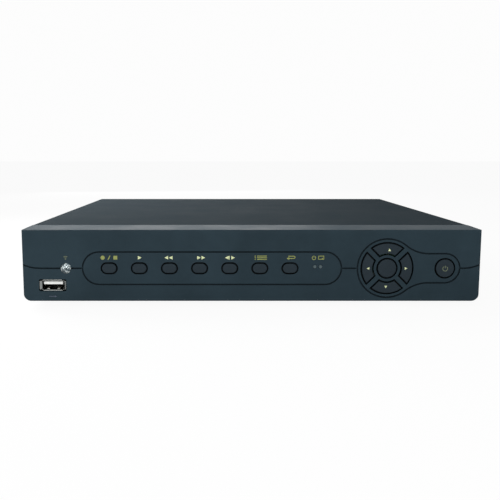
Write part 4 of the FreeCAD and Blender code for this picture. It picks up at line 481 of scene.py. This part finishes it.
def arc(x, z, radius, thickness, start, end, count=24):
    """A curved stroke from one angle to another."""
    angles = [math.radians(start + (end - start) * n / count) for n in range(count + 1)]
    outer = [on_circle(x, z, radius + thickness / 2, angle) for angle in angles]
    inner = [on_circle(x, z, radius - thickness / 2, angle) for angle in angles]
    return outer + inner[::-1]


def power_symbol(x, z, radius, stroke):
    """A ring, open at the top for 35 degrees to each side, with a bar in the gap."""
    half_gap = 35
    ring = arc(x, z, radius, stroke, 90 + half_gap, 450 - half_gap)
    return [ring, bar(x, z + radius * 0.75, stroke, radius * 1.1)]


# ------------------------------------------------------------------ printed symbols on the front
PRINT = 0.05 * MM  # the ink's height over the face, and its depth in it
ROW = middle("key_play").z / MM + 6.1  # the level of the symbols over the keys
ARROW = 2.1  # width and height of the arrows over the keys
STROKE = 0.5  # lines of the symbols over the keys
FINE_STROKE = 0.42  # lines of the symbols over the lamps
FAINT_STROKE = 0.4  # lines of the marks over the window and under the socket


def front_print(name, shapes, material, body=ROOT, node="front_bezel"):
    """Ink on the front face of a node."""
    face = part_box(node)[0].y
    return prisms(name, shapes, face - PRINT, face + PRINT, body, material)


def record_shapes(x):
    """A dot, a slanted line and a square, for record and stop."""
    spacing, radius, square = 3.6, 1.2, 2.2
    lean, half = 0.6, 0.3
    slash = [
        (x - lean - half, ROW - radius),
        (x - lean + half, ROW - radius),
        (x + lean + half, ROW + radius),
        (x + lean - half, ROW + radius),
    ]
    return [disc(x - spacing, ROW, radius), slash, bar(x + spacing, ROW, square, square)]


def play_shapes(x):
    """One arrow."""
    return [triangle(x, ROW, ARROW, ARROW)]


def double_arrow(x, degrees):
    """Two arrows, one behind the other."""
    half_step = 1.25
    return [triangle(x + side * half_step, ROW, ARROW, ARROW, degrees) for side in (-1, 1)]


def rewind_shapes(x):
    """Two arrows to the left."""
    return double_arrow(x, 180)


def forward_shapes(x):
    """Two arrows to the right."""
    return double_arrow(x, 0)


def frame_shapes(x):
    """Arrows to both sides with a bar between them."""
    left, between, right = x - 1.7, x - 0.3, x + 1.9
    narrow = 0.45
    return [
        triangle(left, ROW, ARROW, ARROW, 180),
        bar(between, ROW, narrow, ARROW),
        triangle(right, ROW, ARROW, ARROW),
    ]


def menu_shapes(x):
    """Three lines with a short one before each, for a list."""
    levels = [ROW + rise for rise in (-0.95, 0, 0.95)]
    lines = [bar(x + 0.8, level, 5.6, STROKE) for level in levels]
    return lines + [bar(x - 3.0, level, 0.7, STROKE) for level in levels]


def escape_shapes(x):
    """An arrow that turns back to the left."""
    bend_x, bend_z, radius = x + 1.6, ROW + 0.2, 0.65
    low, high = bend_z - radius, bend_z + radius
    return [
        triangle(x - 1.7, low, 1.6, 1.7, 180),
        bar(x + 0.35, low, 2.6, STROKE),
        arc(bend_x, bend_z, radius, STROKE, -90, 90),
        bar(x + 0.05, high, 3.2, STROKE),
    ]


def lamp_shapes(x):
    """A power ring, and a drive's outline with its spindle."""
    drive_x, width, height = x + 1.9, 3.4, 1.8
    drive = [bar(drive_x, ROW + side * height / 2, width, FINE_STROKE) for side in (-1, 1)]
    drive += [bar(drive_x + side * 1.5, ROW, FINE_STROKE, 1.6) for side in (-1, 1)]
    drive.append(disc(x + 2.5, ROW - 0.35, 0.3))
    return power_symbol(x - 2.2, ROW - 0.1, 1.0, FINE_STROKE) + drive


def window_shapes(x):
    """Waves over a dot, for the remote control's window."""
    waves = [arc(x, ROW - 0.9, radius, FAINT_STROKE, 50, 130, 10) for radius in (0.9, 1.7)]
    return waves + [disc(x, ROW - 0.8, 0.35)]


def socket_shapes(x, z):
    """A plain arrow to the right."""
    return [bar(x - 0.6, z, 3.2, FAINT_STROKE), triangle(x + 1.7, z, 1.4, 1.3)]


def row_symbols():
    """A generic symbol over each function key, over the lamps and the window, and under the socket."""
    over_keys = (
        # key, shift from its middle, shapes, ink
        ("record", 0.0, record_shapes, dim_ink),
        ("play", 0.3, play_shapes, ink),
        ("rewind", -0.5, rewind_shapes, ink),
        ("forward", 0.9, forward_shapes, ink),
        ("frame", 0.0, frame_shapes, ink),
        ("menu", 0.4, menu_shapes, dim_ink),
        ("escape", 0.5, escape_shapes, dim_ink),
    )
    for name, shift, shapes, material in over_keys:
        front_print("print_" + name, shapes(middle("key_" + name).x / MM + shift), material)
    front_print("print_lamps", lamp_shapes(middle("status_leds").x / MM), dim_ink)
    front_print("print_lens", window_shapes(middle("ir_lens").x / MM), faint_ink)
    socket = middle("front_usb_shell") / MM
    front_print("print_usb", socket_shapes(socket.x, socket.z - 6.4), grey_ink)


def key_symbols():
    """Arrows on the direction keys and a dim power symbol."""
    centre = middle("key_enter") / MM
    reach, width, height = 10.7, 1.5, 1.6
    arrows = (
        # key, direction, shift along X
        ("right", 0, 0.0),
        ("up", 90, 1.0),
        ("left", 180, -0.2),
        ("down", 270, -0.5),
    )
    for name, degrees, shift in arrows:
        x, z = on_circle(centre.x + shift, centre.z, reach, math.radians(degrees))
        key = "key_" + name
        front_print("print_" + name, [triangle(x, z, width, height, degrees)], ink, key, key)
    spot = middle("key_power") / MM
    ring = power_symbol(spot.x, spot.z - 0.1, 1.35, 0.45)
    front_print("print_power", ring, faint_ink, "key_power", "key_power")


row_symbols()
key_symbols()


# ------------------------------------------------------------------ small metal parts
def islands(node):
    """The lowest and highest corners of each separate solid of a node."""
    mesh = bmesh.new()
    mesh.from_mesh(nodes[node].data)
    bmesh.ops.remove_doubles(mesh, verts=mesh.verts, dist=1e-6)
    left = set(mesh.verts)
    found = []
    while left:
        group = [left.pop()]
        for vert in group:
            for edge in vert.link_edges:
                other = edge.other_vert(vert)
                if other in left:
                    left.remove(other)
                    group.append(other)
        places = [vert.co for vert in group]
        low = Vector([min(place[n] for place in places) for n in range(3)])
        high = Vector([max(place[n] for place in places) for n in range(3)])
        found.append((low, high))
    mesh.free()
    return sorted(found, key=lambda corners: tuple(corners[0]))


def in_metres(pairs):
    """Pairs of numbers in millimetres as pairs in metres."""
    return [(first * MM, second * MM) for first, second in pairs]


def rear_centre(low, high):
    """The middle of a box's rear face."""
    return Vector(((low.x + high.x) / 2, high.y, (low.z + high.z) / 2))


def strip(mesh, x, width, thickness, path):
    """A bent strip along points of Y and Z, across X."""
    corners = ((-width / 2, 0), (width / 2, 0), (width / 2, thickness), (-width / 2, thickness))
    rows = [[mesh.verts.new((x + u, y, z + v)) for u, v in corners] for y, z in path]
    for first, second in zip(rows, rows[1:]):
        for here, after in around(len(corners)):
            mesh.faces.new((first[here], second[here], second[after], first[after]))
    mesh.faces.new(rows[0])
    mesh.faces.new(rows[-1][::-1])


def lathe_rings(mesh, centre, axes, profile, count=40):
    """Rings round an axis from pairs of level and radius, joined by faces; returns the rings."""
    across, up, out = axes
    rings = []
    for level, radius in profile:
        ring = []
        for n in range(count):
            u, v = on_circle(0, 0, radius, 2 * math.pi * n / count)
            ring.append(mesh.verts.new(centre + out * level + across * u + up * v))
        rings.append(ring)
    for first, second in zip(rings, rings[1:]):
        for here, after in around(count):
            mesh.faces.new((first[here], second[here], second[after], first[after]))
    return rings


def cross_outline(reach, half_width):
    """The twelve corners of a cross recess."""
    corners = []
    for cos, sin in ((1, 0), (0, 1), (-1, 0), (0, -1)):
        for u, v in ((reach, -half_width), (reach, half_width), (half_width, half_width)):
            corners.append((u * cos - v * sin, u * sin + v * cos))
    return corners


def slot_outline(reach, half_width):
    """The four corners of a straight recess."""
    return [(reach, -half_width), (reach, half_width), (-reach, half_width), (-reach, -half_width)]


def recessed(mesh, ring, centre, axes, outline, depth):
    """Closes a ring with a flat face that has a tapered recess in it."""
    across, up, out = axes
    floor_scale = 0.55

    def corner_ring(scale, level):
        return [
            mesh.verts.new(centre + out * level + across * (u * scale) + up * (v * scale))
            for u, v in outline
        ]

    mouth = corner_ring(1.0, 0.0)
    base = corner_ring(floor_scale, -depth)
    edges = [mesh.edges.new((mouth[here], mouth[after])) for here, after in around(len(mouth))]
    edges += [mesh.edges.get((ring[here], ring[after])) for here, after in around(len(ring))]
    bmesh.ops.triangle_fill(mesh, use_beauty=True, edges=edges)
    for here, after in around(len(mouth)):
        mesh.faces.new((mouth[here], base[here], base[after], mouth[after]))
    mesh.faces.new(base)


def screw(mesh, centre, axes, profile, outline, depth):
    """A screw from its head's face inwards, with a driver's recess."""
    rings = lathe_rings(mesh, centre, axes, profile)
    mesh.faces.new(rings[-1])
    recessed(mesh, rings[0], centre, axes, outline, depth)


HEAD_HEIGHT = 1.5 * MM
SHANK_RADIUS = 1.5 * MM
PAN_CROWN = in_metres(((0, 0.9), (-0.15, 0.55), (-0.5, 0.2), (-0.9, 0)))  # level, inset from the rim
SUNK_RIM = 0.15 * MM
SUNK_DEPTH = 1.2 * MM
CROSS_DEPTH = 0.9 * MM
CROSS_HALF_WIDTH = 0.34 * MM
PAN_CROSS_REACH = 1.45 * MM
SUNK_CROSS_REACH = 1.5 * MM


def rear_screws():
    """Pan heads with cross recesses on the rear face."""
    mesh = bmesh.new()
    outline = cross_outline(PAN_CROSS_REACH, CROSS_HALF_WIDTH)
    for low, high in islands("rear_screws"):
        radius = (high.x - low.x) / 2
        crown = [(level, radius - inset) for level, inset in PAN_CROWN]
        shank = [
            (-HEAD_HEIGHT, radius),
            (-HEAD_HEIGHT, SHANK_RADIUS),
            (low.y - high.y, SHANK_RADIUS),
        ]
        centre = rear_centre(low, high)
        screw(mesh, centre, TO_REAR, crown + shank, outline, CROSS_DEPTH)
    piece = finish_mesh("rear_screw_set", mesh, ROOT, screw_steel)
    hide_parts("rear_screws")


def side_screws():
    """Countersunk heads with cross recesses, flush with the sides."""
    mesh = bmesh.new()
    outline = cross_outline(SUNK_CROSS_REACH, CROSS_HALF_WIDTH)
    for low, high in islands("side_screws"):
        radius = (high.z - low.z) / 2
        side = 1 if low.x > 0 else -1
        centre = Vector((high.x if side > 0 else low.x, (low.y + high.y) / 2, (low.z + high.z) / 2))
        profile = (
            (0, radius),
            (-SUNK_RIM, radius),
            (-SUNK_DEPTH, SHANK_RADIUS),
            (low.x - high.x, SHANK_RADIUS),
        )
        axes = (Y_AXIS * side, Z_AXIS, X_AXIS * side)
        screw(mesh, centre, axes, profile, outline, CROSS_DEPTH)
    piece = finish_mesh("side_screw_set", mesh, ROOT, screw_steel)
    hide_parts("side_screws")


def usb_strips(name, shell, inward, places, width, line, material):
    """Equal strips in a USB shell: places along X, and depth in the mouth with rise over its middle."""
    thickness = 0.2
    low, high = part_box(shell)
    mouth = low.y if inward > 0 else high.y
    centre = (low + high) / 2
    path = [(mouth + inward * depth, centre.z + rise) for depth, rise in in_metres(line)]
    mesh = bmesh.new()
    for place in places:
        strip(mesh, centre.x + place * MM, width * MM, thickness * MM, path)
    finish_mesh(name, mesh, ROOT, material)


def usb_contacts(shell, inward):
    """Four flat contacts under a tongue and two springs on the shell's floor."""
    places, width = (-3.5, -1.0, 1.0, 3.5), 1.0
    line = ((2.6, 0.05), (10.0, 0.05))
    usb_strips(shell + "_contacts", shell, inward, places, width, line, brass)
    places, width = (-3.0, 3.0), 1.5
    line = ((1.6, -2.40), (3.4, -1.75), (4.4, -1.75), (7.0, -2.35))
    usb_strips(shell + "_springs", shell, inward, places, width, line, screw_steel)


def lan_contacts():
    """Eight sprung wires in the network socket."""
    count, pitch, width, thickness = 8, 1.02, 0.45, 0.3
    line = ((3.0, 11.9), (4.5, 11.4), (10.5, 8.6), (12.9, 8.2))
    low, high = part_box("lan_jack")
    path = [(high.y - depth, low.z + rise) for depth, rise in in_metres(line)]
    mesh = bmesh.new()
    for n in range(count):
        x = (low.x + high.x) / 2 + (n - (count - 1) / 2) * pitch * MM
        strip(mesh, x, width * MM, thickness * MM, path)
    finish_mesh("lan_contacts", mesh, ROOT, brass)


def video_contacts():
    """The hollow centre contacts of the video connectors."""
    profile = in_metres(((-0.2, 1.0), (0.35, 1.0), (0.45, 0.9), (0.45, 0.55), (-0.15, 0.45)))
    mesh = bmesh.new()
    for low, high in islands("bnc_inserts"):
        centre = rear_centre(low, high)
        rings = lathe_rings(mesh, centre, TO_REAR, profile, count=24)
        mesh.faces.new(rings[0])
        mesh.faces.new(rings[-1])
    finish_mesh("video_contacts", mesh, ROOT, brass)


RING_OUTSIDE = in_metres(((-0.1, 0.1), (0.2, 0.15), (0.3, 0.4)))  # level, inset from the core's rim
RING_INSIDE = in_metres(((0.2, 1.9), (-0.1, 1.8)))  # level, radius


def audio_ring(name, places, material):
    """A coloured facing ring on each of some audio cores."""
    mesh = bmesh.new()
    for low, high in places:
        radius = (high.x - low.x) / 2
        outside = [(level, radius - inset) for level, inset in RING_OUTSIDE]
        centre = rear_centre(low, high)
        rings = lathe_rings(mesh, centre, TO_REAR, outside + RING_INSIDE)
        first, last = rings[0], rings[-1]
        for here, after in around(len(first)):
            mesh.faces.new((last[here], first[here], first[after], last[after]))
    finish_mesh(name, mesh, ROOT, material)


def audio_rings():
    """Red rings on the stacked inputs, and green on the output, which stands in a column of its own."""
    places = islands("audio_inserts")

    def others_aside(corners):
        return sum(abs(other[0].x - corners[0].x) > 1 * MM for other in places)

    output = max(places, key=others_aside)
    audio_ring("audio_rings_in", [corners for corners in places if corners is not output], audio_red)
    audio_ring("audio_ring_out", [output], audio_green)


def terminal_screws():
    """Slotted clamp screws in the terminal block."""
    half_pitch, sunk, rise = 2.54, 0.5, 7.4
    profile = in_metres(((0, 1.2), (-0.15, 1.35), (-0.9, 1.35)))
    outline = slot_outline(1.05 * MM, 0.2 * MM)
    slot_depth = 0.5 * MM
    low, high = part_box("terminal_block")
    mesh = bmesh.new()
    for side in (-1, 1):
        x = (low.x + high.x) / 2 + side * half_pitch * MM
        centre = Vector((x, high.y - sunk * MM, low.z + rise * MM))
        screw(mesh, centre, TO_REAR, profile, outline, slot_depth)
    finish_mesh("terminal_screws", mesh, ROOT, screw_steel)


rear_screws()
side_screws()
usb_contacts("front_usb_shell", 1)
usb_contacts("rear_usb_shell", -1)
lan_contacts()
video_contacts()
audio_rings()
terminal_screws()


# ------------------------------------------------------------------ floor, backdrop, light, camera
FLOOR_SIZE = 12.0
FLOOR_GAP = 0.1 * MM
FLOOR_WHITE = 0.94  # the background's share of the floor; the rest takes the object's shadow
WORLD_WHITE = 0.98
SOFT_LIGHT = 0.27
WHITE = (1, 1, 1, 1)
STUDIO_TINT = (0.97, 0.985, 1.0, 1)
FLOOR_GREY = (0.8, 0.8, 0.8, 1)

LAMPS = (
    # name, place, point that it looks at, side of its square, watts
    ("key", (-0.36, 0.1, 0.24), (-0.04, 0, 0.04), 0.3, 3.1),
    ("fill", (-0.06, -0.85, 0.42), (-0.02, 0, 0.02), 0.7, 5.4),
    ("back", (-0.12, 0.95, 0.22), (0, 0.1, 0.03), 0.6, 2.0),
)


def stage_floor():
    """A pale floor that keeps a soft shadow and looks white to the camera."""
    bpy.ops.mesh.primitive_plane_add(size=FLOOR_SIZE, location=(0, 0, -FLOOR_GAP))
    floor = bpy.context.object
    floor.name = "floor"
    material = bpy.data.materials.new("floor")
    tree = Tree(material)
    diffuse = tree.add("ShaderNodeBsdfDiffuse")
    diffuse.inputs["Color"].default_value = FLOOR_GREY
    glow = tree.add("ShaderNodeEmission")
    glow.inputs["Strength"].default_value = 1.0
    share = tree.add("ShaderNodeMath", operation="MULTIPLY")
    share.inputs[1].default_value = FLOOR_WHITE
    tree.join(tree.background_rays(), share.inputs[0])
    tree.mix_shaders(share.outputs[0], diffuse, glow, tree.add("ShaderNodeOutputMaterial"))
    floor.data.materials.append(material)


def world_light():
    """Even studio light, with a white background for camera, glossy and transmission rays."""
    world = bpy.data.worlds.new("studio")
    bpy.context.scene.world = world
    tree = Tree(world)
    soft = tree.add("ShaderNodeBackground")
    soft.inputs["Color"].default_value = STUDIO_TINT
    soft.inputs["Strength"].default_value = SOFT_LIGHT
    white = tree.add("ShaderNodeBackground")
    white.inputs["Color"].default_value = WHITE
    white.inputs["Strength"].default_value = WORLD_WHITE
    tree.mix_shaders(tree.background_rays(), soft, white, tree.add("ShaderNodeOutputWorld"))


def area_light(name, place, target, size, watts):
    """A square softbox that looks at a point."""
    data = bpy.data.lights.new(name, "AREA")
    data.size = size
    data.energy = watts
    lamp = bpy.data.objects.new(name, data)
    lamp.location = place
    lamp.rotation_euler = (Vector(target) - Vector(place)).to_track_quat("-Z", "Y").to_euler()
    bpy.context.scene.collection.objects.link(lamp)


def camera():
    """Straight from the front and a little above, with the lens shifted."""
    distance, height, aside, down = 0.3610, 0.08423, -0.01575, 7.087
    data = bpy.data.cameras.new("camera")
    data.sensor_width = 36.0
    data.lens = 46.46
    data.shift_x = 0.0527
    data.shift_y = -0.0345
    data.clip_start = 0.01
    view = bpy.data.objects.new("camera", data)
    view.location = (aside, FACE_Y - distance, BASE_Z + height)
    view.rotation_euler = (math.radians(90 - down), 0, 0)
    bpy.context.scene.collection.objects.link(view)
    bpy.context.scene.camera = view


stage_floor()
world_light()
for lamp in LAMPS:
    area_light(*lamp)
camera()
bpy.context.scene.view_settings.view_transform = "Standard"
